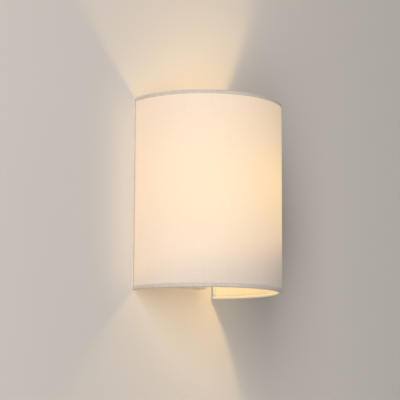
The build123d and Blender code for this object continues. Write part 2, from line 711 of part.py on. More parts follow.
def lampholder_body():
    """A glazed block with the lamp's bore, two rear contact pockets and holes for its screws."""
    body = rod_z(HOLDER_DIA, 0, LAMP_Y, HOLDER_BASE_Z, HOLDER_RIM_Z)
    body = fillet(body.edges().group_by(Axis.Z)[-1], HOLDER_ROUND)
    body -= rod_z(HOLDER_BORE, 0, LAMP_Y, FLOOR_Z, HOLDER_RIM_Z)
    pocket_z = (HOLDER_BASE_Z + POCKET_LOW, HOLDER_BASE_Z + POCKET_HIGH)
    inner = (POCKET_RIB / 2, POCKET_RIB / 2 + POCKET_WIDTH)
    rear = LAMP_Y + HOLDER_DIA / 2
    bore_rear = LAMP_Y + HOLDER_BORE / 2
    for side, low in ((1, FLOOR_Z), (-1, SHELL_LOW_Z - CONTACT_THICK)):
        pocket_x = sorted(side * x for x in inner)
        body -= block(pocket_x, (POCKET_FLOOR, rear), pocket_z)
        slit_x = sorted((side * (POCKET_RIB / 2), side * (POCKET_RIB + TONGUE_WIDTH)))
        slit = (low, low + CONTACT_THICK + CONTACT_PLAY)
        body -= block(slit_x, (bore_rear - TONGUE_WIDTH, POCKET_FLOOR), slit)
        body -= rod_y(
            M3_DIA + 2 * FIT_GAP,
            side * CONTACT_SCREW_X,
            CONTACT_SCREW_Z,
            PLATE_FACE - CONTACT_SCREW_LENGTH - FIT_GAP,
            POCKET_FLOOR,
        )
    for x in holder_screw_places():
        body -= rod_z(M3_DIA + 2 * FIT_GAP, x, LAMP_Y, HOLDER_BASE_Z, FLOOR_Z)
        seat = FLOOR_Z - M3_HEAD_TALL - FIT_GAP
        body -= rod_z(M3_HEAD_DIA + 2 * FIT_GAP, x, LAMP_Y, seat, FLOOR_Z)
    return body


def lampholder_shell():
    """The metal shell that the lamp's cap screws into, drawn with a plain bore."""
    outer = HOLDER_BORE - 2 * FIT_GAP
    high = SHELL_LOW_Z + SHELL_LENGTH
    shell = rod_z(outer, 0, LAMP_Y, SHELL_LOW_Z, high)
    return shell - rod_z(outer - 2 * SHELL_WALL, 0, LAMP_Y, SHELL_LOW_Z, high)


def contact_plate(side, foot_z):
    """The upright part of a contact, in its pocket, with the hole for its screw."""
    near = side * (POCKET_RIB / 2 + CONTACT_PLAY)
    far = near + side * PLATE_WIDE
    low = HOLDER_BASE_Z + POCKET_LOW + CONTACT_PLAY
    plate = block(sorted((near, far)), (POCKET_FLOOR, PLATE_FACE), (low, foot_z + CONTACT_THICK))
    hole = M3_DIA + 2 * FIT_GAP
    return plate - rod_y(hole, side * CONTACT_SCREW_X, CONTACT_SCREW_Z, POCKET_FLOOR, PLATE_FACE)


def tongue(side, foot_z, reach_y):
    """The flat part of a contact, from its plate into the bore."""
    near = side * (POCKET_RIB / 2 + CONTACT_PLAY)
    far = near + side * TONGUE_WIDTH
    return block(sorted((near, far)), (reach_y, POCKET_FLOOR), (foot_z, foot_z + CONTACT_THICK))


def centre_contact():
    """The contact under the lamp: plate, tongue along the floor, and a raised button."""
    button_high = PIP_LOW_Z - CONTACT_GAP
    contact = contact_plate(1, FLOOR_Z) + tongue(1, FLOOR_Z, LAMP_Y)
    contact += rod_z(TONGUE_DISC, 0, LAMP_Y, FLOOR_Z, FLOOR_Z + CONTACT_THICK)
    return contact + rod_z(BUTTON_DIA, 0, LAMP_Y, FLOOR_Z, button_high)


def shell_contact():
    """The contact that meets the shell's lower edge."""
    foot_z = SHELL_LOW_Z - CONTACT_THICK
    reach_y = LAMP_Y + HOLDER_BORE / 2 - TONGUE_WIDTH
    return contact_plate(-1, foot_z) + tongue(-1, foot_z, reach_y)


def contact_screws():
    """Screws that clamp the leads to the contacts, heads towards the wall."""
    length = CONTACT_SCREW_LENGTH
    return Compound(
        children=[
            Pos(side * CONTACT_SCREW_X, PLATE_FACE, CONTACT_SCREW_Z) * Rot(-90, 0, 0) * m3_screw(length)
            for side in (-1, 1)
        ]
    )


def holder_screws():
    """Bolts from the holder's floor down through the arm."""
    seat = FLOOR_Z - M3_HEAD_TALL - FIT_GAP
    length = seat - (ARM_TOP_Z - ARM_THICK) + M3_NUT_TALL + SCREW_TAIL
    return Compound(
        children=[Pos(x, LAMP_Y, seat) * m3_screw(length) for x in holder_screw_places()]
    )


def holder_nuts():
    """Nuts under the arm."""
    hexagon = nut(M3_NUT_FLATS, M3_DIA, M3_NUT_TALL)
    low = ARM_TOP_Z - ARM_THICK - M3_NUT_TALL
    return Compound(children=[Pos(x, LAMP_Y, low) * hexagon for x in holder_screw_places()])


# ---------------------------------------------------------------- lamp


def on_globe(radius, z):
    """Distance from the lamp's axis of a sphere about the globe's centre, at height Z."""
    return (radius**2 - (GLOBE_Z - z) ** 2) ** 0.5


def globe():
    """The opal globe: a sphere's wall from the housing's rim to the top."""
    inner = GLOBE_RADIUS - GLOBE_WALL
    side = radians(30)
    outer_arc = ThreePointArc(
        (HOUSING_TOP_RADIUS, HOUSING_TOP_Z),
        (GLOBE_RADIUS * cos(side), GLOBE_Z + GLOBE_RADIUS * sin(side)),
        (0, GLOBE_Z + GLOBE_RADIUS),
    )
    inner_arc = ThreePointArc(
        (0, GLOBE_Z + inner),
        (inner * cos(side), GLOBE_Z + inner * sin(side)),
        (on_globe(inner, HOUSING_TOP_Z), HOUSING_TOP_Z),
    )
    top = Line(outer_arc @ 1, inner_arc @ 0)
    rim = Line(inner_arc @ 1, outer_arc @ 0)
    return round_lamp(outer_arc + top + inner_arc + rim)


def housing():
    """The lamp's flared housing, from the cap to the globe."""
    foot = HOUSING_FOOT_DIA / 2
    middle_z = CAP_TOP_Z + HOUSING_TALL / 2
    middle = (foot + HOUSING_TOP_RADIUS) / 2 - HOUSING_WALL / 2
    outer = ThreePointArc((foot, CAP_TOP_Z), (middle, middle_z), (HOUSING_TOP_RADIUS, HOUSING_TOP_Z))
    inner = ThreePointArc(
        (HOUSING_TOP_RADIUS - HOUSING_WALL, HOUSING_TOP_Z),
        (middle - HOUSING_WALL, middle_z),
        (CAP_INNER_DIA / 2, CAP_TOP_Z),
    )
    return round_lamp(outer + Line(outer @ 1, inner @ 0) + inner + Line(inner @ 1, outer @ 0))


def cap():
    """The lamp's cap: a shell with rounded ridges at the pitch of its thread, open at both ends."""
    crest = CAP_CREST_DIA / 2
    root = CAP_ROOT_DIA / 2
    inner = CAP_INNER_DIA / 2
    first = CAP_TOP_Z - CAP_LIP - CAP_RIDGES * CAP_PITCH
    outline = Line((inner, CAP_LOW_Z), (root, CAP_LOW_Z)) + Line((root, CAP_LOW_Z), (root, first))
    for ridge in range(CAP_RIDGES):
        low = first + ridge * CAP_PITCH
        high = low + CAP_PITCH
        outline += ThreePointArc((root, low), (crest, (low + high) / 2), (root, high))
    outline += Line((root, CAP_TOP_Z - CAP_LIP), (root, CAP_TOP_Z))
    outline += Line((root, CAP_TOP_Z), (inner, CAP_TOP_Z))
    outline += Line((inner, CAP_TOP_Z), (inner, CAP_LOW_Z))
    return round_lamp(outline)


def cap_insulator():
    """The insulating cone between the cap's shell and its end contact."""
    wide = CAP_ROOT_DIA / 2
    tip = INSULATOR_TIP_DIA / 2
    points = [(0, CAP_LOW_Z), (wide, CAP_LOW_Z), (tip, PIP_TOP_Z), (0, PIP_TOP_Z)]
    return round_lamp(Polyline(*points, close=True))


def cap_contact():
    """The contact at the cap's end."""
    pip = rod_z(PIP_DIA, 0, LAMP_Y, PIP_LOW_Z, PIP_TOP_Z)
    return fillet(pip.edges().group_by(Axis.Z)[0], PIP_ROUND)


def board_z():
    """Lower and upper face of the circuit board."""
    return (HOUSING_TOP_Z - BOARD_THICK - BOARD_GAP, HOUSING_TOP_Z - BOARD_GAP)


def circuit_board():
    """The round board that the diodes stand on."""
    low, high = board_z()
    return rod_z(2 * (HOUSING_TOP_RADIUS - HOUSING_WALL - BOARD_PLAY), 0, LAMP_Y, low, high)


def diodes():
    """Light-emitting diodes in a ring on the board."""
    high = board_z()[1]
    chip = Pos(DIODE_CIRCLE / 2, 0, high + DIODE_TALL / 2) * Box(DIODE_SIZE, DIODE_SIZE, DIODE_TALL)
    axis = Pos(0, LAMP_Y, 0)
    return Compound(children=[axis * Rot(0, 0, 360 / DIODES * step) * chip for step in range(DIODES)])


def driver():
    """The potted driver: a round block from the cap up to the board."""
    dia = CAP_INNER_DIA - 2 * DRIVER_GAP
    return rod_z(dia, 0, LAMP_Y, CAP_LOW_Z + DRIVER_GAP, board_z()[0])


# ---------------------------------------------------------------- all pieces

PIECES = {
    "wall_bracket": wall_bracket(),
    "bracket_pillars": bracket_pillars(),
    "back_plate": back_plate(),
    "plate_screws": plate_screws(),
    "thumb_inserts": thumb_inserts(),
    "terminal_block": terminal_block(),
    "terminal_sleeves": terminal_sleeves(),
    "clamp_screws": clamp_screws(),
    "block_screw": block_screw(),
    "earth_tag": earth_tag(),
    "earth_screw": earth_screw(),
    "lead_grommet": lead_grommet(),
    "live_lead": lamp_lead(1),
    "neutral_lead": lamp_lead(-1),
    "earth_lead": earth_lead(),
    "lamp_arm": lamp_arm(),
    "arm_screws": arm_screws(),
    "arm_nuts": arm_nuts(),
    "lampholder_body": lampholder_body(),
    "lampholder_shell": lampholder_shell(),
    "centre_contact": centre_contact(),
    "shell_contact": shell_contact(),
    "contact_screws": contact_screws(),
    "holder_screws": holder_screws(),
    "holder_nuts": holder_nuts(),
    "bulb_globe": globe(),
    "bulb_housing": housing(),
    "bulb_cap": cap(),
    "bulb_insulator": cap_insulator(),
    "bulb_contact": cap_contact(),
    "bulb_board": circuit_board(),
    "bulb_diodes": diodes(),
    "bulb_driver": driver(),
    "shade_cover": shade_sheet((COVER_IN, SHADE_RADIUS)),
    "shade_liner": shade_sheet((LINER_IN, LINER_OUT)),
    "top_trim": top_trim(),
    "bottom_trim": upside_down(top_trim()),
    "right_trim": right_trim(),
    "left_trim": other_side(right_trim()),
    "top_ring": top_ring(),
    "bottom_ring": upside_down(top_ring()),
    "right_rod": right_rod(),
    "left_rod": other_side(right_rod()),
    "upper_strap": upper_strap(),
    "lower_strap": upside_down(upper_strap()),
    "upper_thumbscrew": upper_thumbscrew(),
    "lower_thumbscrew": upside_down(upper_thumbscrew()),
    "upper_screw_ring": upper_screw_ring(),
    "lower_screw_ring": upside_down(upper_screw_ring()),
}

os.makedirs("parts", exist_ok=True)
for name, piece in PIECES.items():
    export_step(piece, f"parts/{name}.step")
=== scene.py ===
"""A fabric shade wall light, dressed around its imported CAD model.

The shade is a part-cylinder of woven cotton on a stiff liner, with rolled cloth edges, and is lit from
inside by one opal lamp in a porcelain lampholder. It stands against a plain wall.
All places are in metres in the frame's own axes: the wall is Y = 0, -Y points into the room, +Z is up.
"""

import json
import logging
from collections.abc import Callable, Sequence
from dataclasses import dataclass
from enum import Enum
from functools import partial
from math import acos, pi, radians, tau
from typing import Any

import bmesh
import bpy
import numpy as np
from mathutils import Matrix, Vector


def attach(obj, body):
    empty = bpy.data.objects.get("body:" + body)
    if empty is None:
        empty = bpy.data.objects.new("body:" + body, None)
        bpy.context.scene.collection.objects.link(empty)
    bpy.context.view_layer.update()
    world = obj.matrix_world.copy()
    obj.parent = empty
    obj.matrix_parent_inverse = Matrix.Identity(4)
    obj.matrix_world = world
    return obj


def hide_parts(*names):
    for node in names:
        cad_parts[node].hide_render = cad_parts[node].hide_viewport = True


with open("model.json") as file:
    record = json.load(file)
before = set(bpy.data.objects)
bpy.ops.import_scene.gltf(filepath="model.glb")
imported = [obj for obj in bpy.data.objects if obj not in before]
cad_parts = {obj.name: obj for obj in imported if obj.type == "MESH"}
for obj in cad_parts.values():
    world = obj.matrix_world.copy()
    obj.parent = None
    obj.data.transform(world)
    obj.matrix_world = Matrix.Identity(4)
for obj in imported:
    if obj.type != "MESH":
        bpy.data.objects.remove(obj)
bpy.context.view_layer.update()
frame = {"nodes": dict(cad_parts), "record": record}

LOG = logging.getLogger("wall_light")
MM = 0.001
WAVE = tau / 20  # the wave texture's own spacing, at a scale of 1
MIDDLE = (0.3, 0.7)  # the span that most of a noise lies in

Point = tuple[float, float, float]
Size = tuple[float, float]
Inputs = dict[Any, Any]
Adder = Callable[..., Any]
Piece = bpy.types.Object
Socket = bpy.types.NodeSocket
Tree = bpy.types.NodeTree


# ---- colours and nodes


def linear(code: str) -> tuple[float, float, float, float]:
    """Turns an sRGB hex colour into linear light.

    Args:
        code: Six hex digits after a hash sign.

    Returns:
        Red, green, blue and an alpha of 1.
    """
    shares = [int(code[place : place + 2], 16) / 255 for place in (1, 3, 5)]
    light = [s / 12.92 if s <= 0.04045 else ((s + 0.055) / 1.055) ** 2.4 for s in shares]
    return light[0], light[1], light[2], 1.0


def add_node(
    tree: Tree, kind: str, inputs: Inputs | Sequence[Any] = (), out: int | str = 0, **settings: Any
) -> Socket | None:
    """Adds a shader node, with its settings, and with its inputs set or linked.

    Args:
        tree: The node tree that the node goes into.
        kind: The node's type name, without ShaderNode before it.
        inputs: Values or output sockets, by input name or number, or all in order. In order, a
            MapRange takes its value, the span it comes from, and the span it goes to.
        out: Name or number of the output that is wanted.
        **settings: The node's own settings by name.

    Returns:
        That output's socket, or None from a node that has no outputs.
    """
    node = tree.nodes.new("ShaderNode" + kind)
    for name, value in settings.items():
        setattr(node, name, value)
    keyed = inputs if isinstance(inputs, dict) else dict(enumerate(inputs))
    for key, value in keyed.items():
        if isinstance(value, Socket):
            tree.links.new(value, node.inputs[key])
        else:
            node.inputs[key].default_value = value
    return node.outputs[out] if node.outputs else None


def empty_tree(owner: bpy.types.Material | bpy.types.World | bpy.types.Light) -> Adder:
    """Gives a material, the world or a lamp an empty node tree.

    Args:
        owner: What the tree belongs to.

    Returns:
        The function that adds a node to it, which is add_node with its tree filled in.
    """
    owner.use_nodes = True
    owner.node_tree.nodes.clear()
    return partial(add_node, owner.node_tree)


# ---- light through the shade


@dataclass(frozen=True)
class Glow:
    """Light that comes through a sheet from the lamp behind it.

    The lamp's own light falls off with the square of the distance, and ends in a soft line low down, where
    the lamp's housing and holder are in its way. The light that has bounced about inside is even, and only
    some of it gets below that line.
    """

    own: str  # colour of the lamp's own light in the sheet
    own_strength: float  # its strength, where the sheet is nearest
    bounced: str  # colour of the bounced light
    bounced_strength: float
    lamp: Point = (0.015, -0.05, 0.01)  # the light's centre
    nearest: float = 66 * MM  # distance from it at which the lamp's own light is full
    housing: Size = (-0.9, -0.6)  # sines of the slopes down at which the light is shut off, and is free
    below: float = 0.5  # share of the bounced light that gets below that

    def sockets(self, add: Adder, unevenness: Socket) -> Inputs:
        """Builds the emission colour and strength.

        Args:
            add: Adds a node.
            unevenness: A factor near 1 that the sheet's thick and thin places give.

        Returns:
            The emission inputs of a Principled BSDF.
        """
        here = add("TexCoord", out="Object")
        ray = add("VectorMath", [here, self.lamp], operation="SUBTRACT")
        length = add("VectorMath", [ray], "Value", operation="LENGTH")
        slope = add("Math", [add("SeparateXYZ", [ray], "Z"), length], operation="DIVIDE")
        free = add("MapRange", [slope, *self.housing], interpolation_type="SMOOTHSTEP")
        near = add("Math", [self.nearest, length], operation="DIVIDE")
        square = add("Math", [near, 2.0], operation="POWER")
        direct = add("Math", [square, free], operation="MULTIPLY")
        indirect = add("Math", [free, 1 - self.below, self.below], operation="MULTIPLY_ADD")
        own = [self.own_strength * part for part in linear(self.own)[:3]]
        bounced = [self.bounced_strength * part for part in linear(self.bounced)[:3]]
        soft = add("VectorMath", [indirect, bounced], operation="MULTIPLY")
        colour = add("VectorMath", [direct, own, soft], operation="MULTIPLY_ADD")
        return {"Emission Color": colour, "Emission Strength": unevenness}


@dataclass(frozen=True)
class InsideLight:
    """Light on cloth that faces the inside of the lit shade, from the sheets all round it."""

    tint: str  # the light's colour in the cloth
    strength: float  # its strength, where the cloth faces straight inwards
    heart: Point = (0.0, -0.05, 0.0)  # a point on the upright line that the inside lies about

    def sockets(self, add: Adder, unevenness: Socket) -> Inputs:
        """Builds the emission colour and strength: how far the surface turns towards the upright line.

        Args:
            add: Adds a node.
            unevenness: A factor near 1 that the cloth's thick and thin places give.

        Returns:
            The emission inputs of a Principled BSDF.
        """
        here = add("TexCoord", out="Object")
        inwards = add("VectorMath", [self.heart, here], operation="SUBTRACT")
        level = add("VectorMath", [inwards, (1, 1, 0)], operation="MULTIPLY")
        unit = add("VectorMath", [level], operation="NORMALIZE")
        facing = add("NewGeometry", out="Normal")
        turned = add("VectorMath", [facing, unit], "Value", operation="DOT_PRODUCT")
        lit = add("MapRange", [turned, 0.0, 1.0, 0.0, self.strength])
        strength = add("Math", [lit, unevenness], operation="MULTIPLY")
        return {"Emission Color": linear(self.tint), "Emission Strength": strength}


# ---- finishes


@dataclass(frozen=True)
class Finish:
    """A surface finish. Each kind says in sockets() what its Principled BSDF takes."""

    name: str
    tint: str
    second: str  # the colour that the tint is clouded, flecked or striped with

    def sockets(self, add: Adder) -> Inputs:
        """Gives the Principled BSDF's inputs.

        Args:
            add: Adds a node.

        Returns:
            Values or sockets by input name.
        """
        raise NotImplementedError

    def skin(self, add: Adder, blend: Socket, height: Socket, depth: float, rough: float | Socket) -> Inputs:
        """Blends the tint with the second colour, and gives the surface its relief.

        Args:
            add: Adds a node.
            blend: 0 where the second colour shows, 1 where the tint does.
            height: The relief's height, from 0 to 1.
            depth: What 1 is in metres.
            rough: The roughness.

        Returns:
            Values or sockets by input name.
        """
        tints = {0: blend, 6: linear(self.second), 7: linear(self.tint)}
        return {
            "Base Color": add("Mix", tints, 2, data_type="RGBA"),
            "Roughness": rough,
            "Normal": add("Bump", {"Height": height, "Distance": depth, "Strength": 1.0}),
        }

    def material(self) -> bpy.types.Material:
        """Gives the finish's material, made once.

        Returns:
            The material, named for the finish.
        """
        made = bpy.data.materials.get(self.name)
        if made:
            return made
        made = bpy.data.materials.new(self.name)
        add = empty_tree(made)
        add("OutputMaterial", {"Surface": add("BsdfPrincipled", self.sockets(add))})
        return made


@dataclass(frozen=True)
class WovenCotton(Finish):
    """Plain-woven ivory cotton, bonded flat: soft, matt, with thick and thin threads that show in the light.

    It reads the piece's own UV map, in metres along weft and warp. The second colour is painted shade in the
    gaps between the threads.
    """

    glow: Glow | InsideLight  # the light that comes through it or falls on its inside
    thread: float = 0.9 * MM  # spacing: the threads lie 0.5 mm apart, and are drawn coarser to show at all
    slub: Size = (34 * MM, 1.44 * MM)  # length and width of a thick stretch of thread
    patch: float = 45.45 * MM  # width of the patches that let more or less light through
    veil: Size = (1.03, 0.97)  # how much light its thinnest and thickest places let through
    relief: float = 0.02 * MM  # height of the weave

    def sockets(self, add: Adder) -> Inputs:
        """Weaves over and under from crossed waves, adds thick threads as drawn-out noise, and paints shade
        into the gaps.

        Args:
            add: Adds a node.

        Returns:
            Values or sockets by input name.
        """
        flat = add("UVMap", uv_map="UVMap")
        rounds, steps = [], []
        for way in ("X", "Y"):
            for spacing, kept in ((self.thread, rounds), (2 * self.thread, steps)):
                band = {"Vector": flat, "Scale": WAVE / spacing, "Distortion": 0.0}
                kept.append(add("TexWave", band, "Fac", bands_direction=way))
        signed = [add("Math", [step, 2.0, -1.0], operation="MULTIPLY_ADD") for step in steps]
        over = add("MapRange", [add("Math", signed, operation="MULTIPLY"), -0.6, 0.6])
        weave = add("Mix", {0: over, 2: rounds[0], 3: rounds[1]}, data_type="FLOAT")
        long, wide = (1 / size for size in self.slub)
        slubs = []
        for stretch in ((long, wide, 1), (wide, long, 1)):
            drawn = add("VectorMath", [flat, stretch], operation="MULTIPLY")
            slubs.append(add("TexNoise", {"Vector": drawn, "Scale": 1.0, "Detail": 1.0, "Roughness": 0.4}))
        thick = add("Math", slubs, operation="ADD")
        # Painted shade: where the weave dips between threads, the colour goes towards the darker second
        # colour.
        raised = add("MapRange", [add("Math", [weave, 0.3, thick], operation="MULTIPLY_ADD"), 0.55, 1.5])
        height = add("Math", [thick, 0.8, weave], operation="MULTIPLY_ADD")
        patchy = add("TexNoise", {"Vector": flat, "Scale": 1 / self.patch, "Detail": 2.0})
        summed = add("Math", [thick, patchy], operation="ADD")
        return {
            **self.skin(add, raised, height, self.relief, rough=0.92),
            "Sheen Weight": 0.15,
            "Sheen Roughness": 0.5,
            "Specular IOR Level": 0.25,
            **self.glow.sockets(add, add("MapRange", [summed, 1.0, 2.0, *self.veil])),
        }


@dataclass(frozen=True)
class LinerSheet(Finish):
    """Stiff translucent sheet behind the cloth: matt and slightly mottled, warm where the lamp lights it."""

    glow: Glow  # the lamp's light in the sheet
    mottle: float = 6 * MM  # width of its mottling
    veil: Size = (0.95, 1.05)  # how much light its darkest and palest places let through
    grain: float = 0.7 * MM  # width of its grain
    relief: float = 0.02 * MM  # depth of its grain

    def sockets(self, add: Adder) -> Inputs:
        """Mottles the sheet softly, and lets the same mottling through to its glow.

        Args:
            add: Adds a node.

        Returns:
            Values or sockets by input name.
        """
        here = add("TexCoord", out="Object")
        noise = {"Vector": here, "Scale": 1 / self.mottle, "Detail": 3.0, "Roughness": 0.6}
        mottle = add("TexNoise", noise)
        fine = add("TexNoise", {"Vector": here, "Scale": 1 / self.grain, "Detail": 2.0})
        uneven = add("MapRange", [mottle, 0.25, 0.75, *self.veil])
        return self.skin(add, mottle, fine, self.relief, rough=0.62) | self.glow.sockets(add, uneven)


@dataclass(frozen=True)
class PowderCoat(Finish):
    """White powder coat on steel: an even satin skin with a fine orange peel."""

    peel: float = 1.4 * MM  # width of a dimple of the orange peel
    relief: float = 0.03 * MM  # depth of the dimples
    patch: float = 22.22 * MM  # width of the faint patches in its colour and gloss
    rough: Size = (0.36, 0.48)  # lowest and highest roughness

    def sockets(self, add: Adder) -> Inputs:
        """Dimples from fine noise, and a faint unevenness of colour and gloss from broad noise.

        Args:
            add: Adds a node.

        Returns:
            Values or sockets by input name.
        """
        here = add("TexCoord", out="Object")
        peel = add("TexNoise", {"Vector": here, "Scale": 1 / self.peel, "Detail": 2.0, "Roughness": 0.5})
        broad = add("TexNoise", {"Vector": here, "Scale": 1 / self.patch, "Detail": 3.0})
        return self.skin(add, broad, peel, self.relief, add("MapRange", [broad, *MIDDLE, *self.rough]))


@dataclass(frozen=True)
class PlatedMetal(Finish):
    """Plated or plain metal, with soft clouds in its colour and gloss and fine handling marks."""

    rough: Size = (0.24, 0.42)  # lowest and highest roughness
    cloud: float = 6.25 * MM  # width of the clouds
    mark: float = 1.111 * MM  # width of the handling marks
    relief: float = 0.01 * MM  # their depth

    def sockets(self, add: Adder) -> Inputs:
        """Clouds the colour from broad noise, and marks the gloss and surface from fine noise.

        Args:
            add: Adds a node.

        Returns:
            Values or sockets by input name.
        """
        here = add("TexCoord", out="Object")
        broad = add("TexNoise", {"Vector": here, "Scale": 1 / self.cloud, "Detail": 3.0})
        fine = add("TexNoise", {"Vector": here, "Scale": 1 / self.mark, "Detail": 4.0, "Roughness": 0.6})
        rough = add("MapRange", [fine, *MIDDLE, *self.rough])
        return {**self.skin(add, broad, fine, self.relief, rough), "Metallic": 1.0}


@dataclass(frozen=True)
class TurnedNickel(Finish):
    """Nickel plate over lathe-turned steel: fine rings about the screw's own axis."""

    centre: Point  # a point on the screw's axis, which runs along Y
    ring: float = 0.3 * MM  # spacing of the rings, drawn coarser than they are to show
    relief: float = 0.008 * MM  # their depth
    rough: Size = (0.2, 0.34)  # lowest and highest roughness
    cloud: float = 3.846 * MM  # width of the clouds in its colour and gloss

    def sockets(self, add: Adder) -> Inputs:
        """Rings from a wave about the axis, with a cloudy gloss over them.

        Args:
            add: Adds a node.

        Returns:
            Values or sockets by input name.
        """
        here = add("TexCoord", out="Object")
        moved = add("VectorMath", [here, self.centre], operation="SUBTRACT")
        lathe = {"Vector": moved, "Scale": WAVE / self.ring, "Distortion": 0.4, "Detail": 1.0}
        rings = add("TexWave", lathe, "Fac", wave_type="RINGS", rings_direction="Y")
        broad = add("TexNoise", {"Vector": here, "Scale": 1 / self.cloud, "Detail": 3.0})
        rough = add("MapRange", [broad, *MIDDLE, *self.rough])
        return {**self.skin(add, broad, rings, self.relief, rough), "Metallic": 1.0}


class Grain(Enum):
    """How a moulded surface came out of its mould: width of its grain in metres, and its roughness."""

    POLISHED = (0.4 * MM, 0.2)
    SATIN = (0.8 * MM, 0.42)
    SPARKED = (0.6 * MM, 0.6)
    CAST = (2.5 * MM, 0.75)


@dataclass(frozen=True)
class Moulded(Finish):
    """Moulded plastic, rubber or cast resin: one dyed colour with faint flow clouds and the mould's grain."""

    grain: Grain = Grain.SATIN
    cloud: Size = (11.11 * MM, 33.33 * MM)  # width and height of the flow clouds
    relief: float = 0.015 * MM  # depth of the grain
    sheen: float = 0.06  # how far the grain moves the roughness up and down

    def sockets(self, add: Adder) -> Inputs:
        """Flow clouds from drawn-out noise, and the mould's grain as a shallow bump.

        Args:
            add: Adds a node.

        Returns:
            Values or sockets by input name.
        """
        width, rough = self.grain.value
        wide, tall = self.cloud
        here = add("TexCoord", out="Object")
        flow = add("VectorMath", [here, (1 / wide, 1 / wide, 1 / tall)], operation="MULTIPLY")
        cloud = add("TexNoise", {"Vector": flow, "Scale": 1.0, "Detail": 3.0})
        fine = add("TexNoise", {"Vector": here, "Scale": 1 / width, "Detail": 2.0})
        gloss = add("MapRange", [fine, 0.0, 1.0, rough - self.sheen, rough + self.sheen])
        return self.skin(add, cloud, fine, self.relief, gloss)


@dataclass(frozen=True)
class StripedInsulation(Finish):
    """Lead insulation in two colours: the tint is a stripe down one side of an upright lead."""

    edge: float = 0.25 * MM  # X of the stripe's edge
    blur: float = 0.1 * MM  # width over which the colours meet
    grain: float = 0.6667 * MM  # width of its grain
    relief: float = 0.01 * MM  # depth of its grain

    def sockets(self, add: Adder) -> Inputs:
        """Splits the colour at the stripe's edge.

        Args:
            add: Adds a node.

        Returns:
            Values or sockets by input name.
        """
        here = add("TexCoord", out="Object")
        side = add("MapRange", [add("SeparateXYZ", [here], "X"), self.edge, self.edge + self.blur])
        fine = add("TexNoise", {"Vector": here, "Scale": 1 / self.grain, "Detail": 1.0})
        return self.skin(add, side, fine, self.relief, rough=0.45)


@dataclass(frozen=True)
class GlazedPorcelain(Finish):
    """White glazed porcelain: a deep clear gloss with a soft wave in it and a few iron specks."""

    speck: float = 5 * MM  # spacing of the specks
    edge: Size = (0.03, 0.06)  # where a speck fades out, as shares of that
    wave: float = 9 * MM  # width of the glaze's waves
    relief: float = 0.12 * MM  # their height

    def sockets(self, add: Adder) -> Inputs:
        """Specks where a cell pattern is nearest to its centres, waves from broad noise, and a clear coat.

        Args:
            add: Adds a node.

        Returns:
            Values or sockets by input name.
        """
        here = add("TexCoord", out="Object")
        cells = add("TexVoronoi", {"Vector": here, "Scale": 1 / self.speck}, "Distance")
        broad = add("TexNoise", {"Vector": here, "Scale": 1 / self.wave, "Detail": 1.0})
        skin = self.skin(add, add("MapRange", [cells, *self.edge]), broad, self.relief, rough=0.3)
        return skin | {"Coat Weight": 1.0, "Coat Roughness": 0.05, "Coat Normal": skin["Normal"]}


@dataclass(frozen=True)
class OpalDiffuser(Finish):
    """Lit opal diffuser: even and milky, a little dimmer and warmer towards its foot, under a smooth skin."""

    ends: Size = (18 * MM, 52 * MM)  # heights of its foot and its top
    strength: float = 1.25  # of its light
    shares: Point = (0.7, 0.25, 0.1)  # of that: at the foot, what the top has more, and the cloud's
    cloud: float = 16.67 * MM  # width of the faint clouds

    def sockets(self, add: Adder) -> Inputs:
        """Grades colour and strength from the foot to the top, with a faint cloud from noise.

        Args:
            add: Adds a node.

        Returns:
            Values or sockets by input name.
        """
        foot, rise, milk = (share * self.strength for share in self.shares)
        here = add("TexCoord", out="Object")
        height = add("SeparateXYZ", [here], "Z")
        up = add("MapRange", [height, *self.ends], interpolation_type="SMOOTHSTEP")
        cloud = add("TexNoise", {"Vector": here, "Scale": 1 / self.cloud, "Detail": 2.0})
        colour = add("Mix", {0: up, 6: linear(self.second), 7: linear(self.tint)}, 2, data_type="RGBA")
        graded = add("Math", [up, rise, foot], operation="MULTIPLY_ADD")
        strength = add("Math", [cloud, milk, graded], operation="MULTIPLY_ADD")
        lit = {"Emission Color": colour, "Emission Strength": strength}
        return {"Base Color": colour, "Roughness": 0.22, **lit}


@dataclass(frozen=True)
class SolderMask(Finish):
    """White solder mask over round copper tracks, which show as faint raised rings."""

    centre: Point = (0.0, -0.054, 0.0)  # a point on the board's axis
    track: float = 2.4 * MM  # spacing of the tracks
    edge: Size = (0.55, 0.65)  # where a track's side starts and ends, as shares of a wave's height
    relief: float = 0.03 * MM  # height of the tracks

    def sockets(self, add: Adder) -> Inputs:
        """Rings from a wave about the board's axis, raised and in the tint, over the greyer second colour.

        Args:
            add: Adds a node.

        Returns:
            Values or sockets by input name.
        """
        here = add("TexCoord", out="Object")
        moved = add("VectorMath", [here, self.centre], operation="SUBTRACT")
        tracks = {"Vector": moved, "Scale": WAVE / self.track, "Distortion": 0.0}
        rings = add("TexWave", tracks, "Fac", wave_type="RINGS", rings_direction="Z")
        raised = add("MapRange", [rings, *self.edge])
        return self.skin(add, raised, raised, self.relief, rough=0.38)


COVER_GLOW = Glow(own="#FFC932", own_strength=0.48, bounced="#FFE5DD", bounced_strength=0.26)
LINER_GLOW = Glow(own="#FBE3AA", own_strength=0.34, bounced="#FCDFA9", bounced_strength=0.43)
TRIM_LIGHT = InsideLight("#FFEBAC", 0.36)

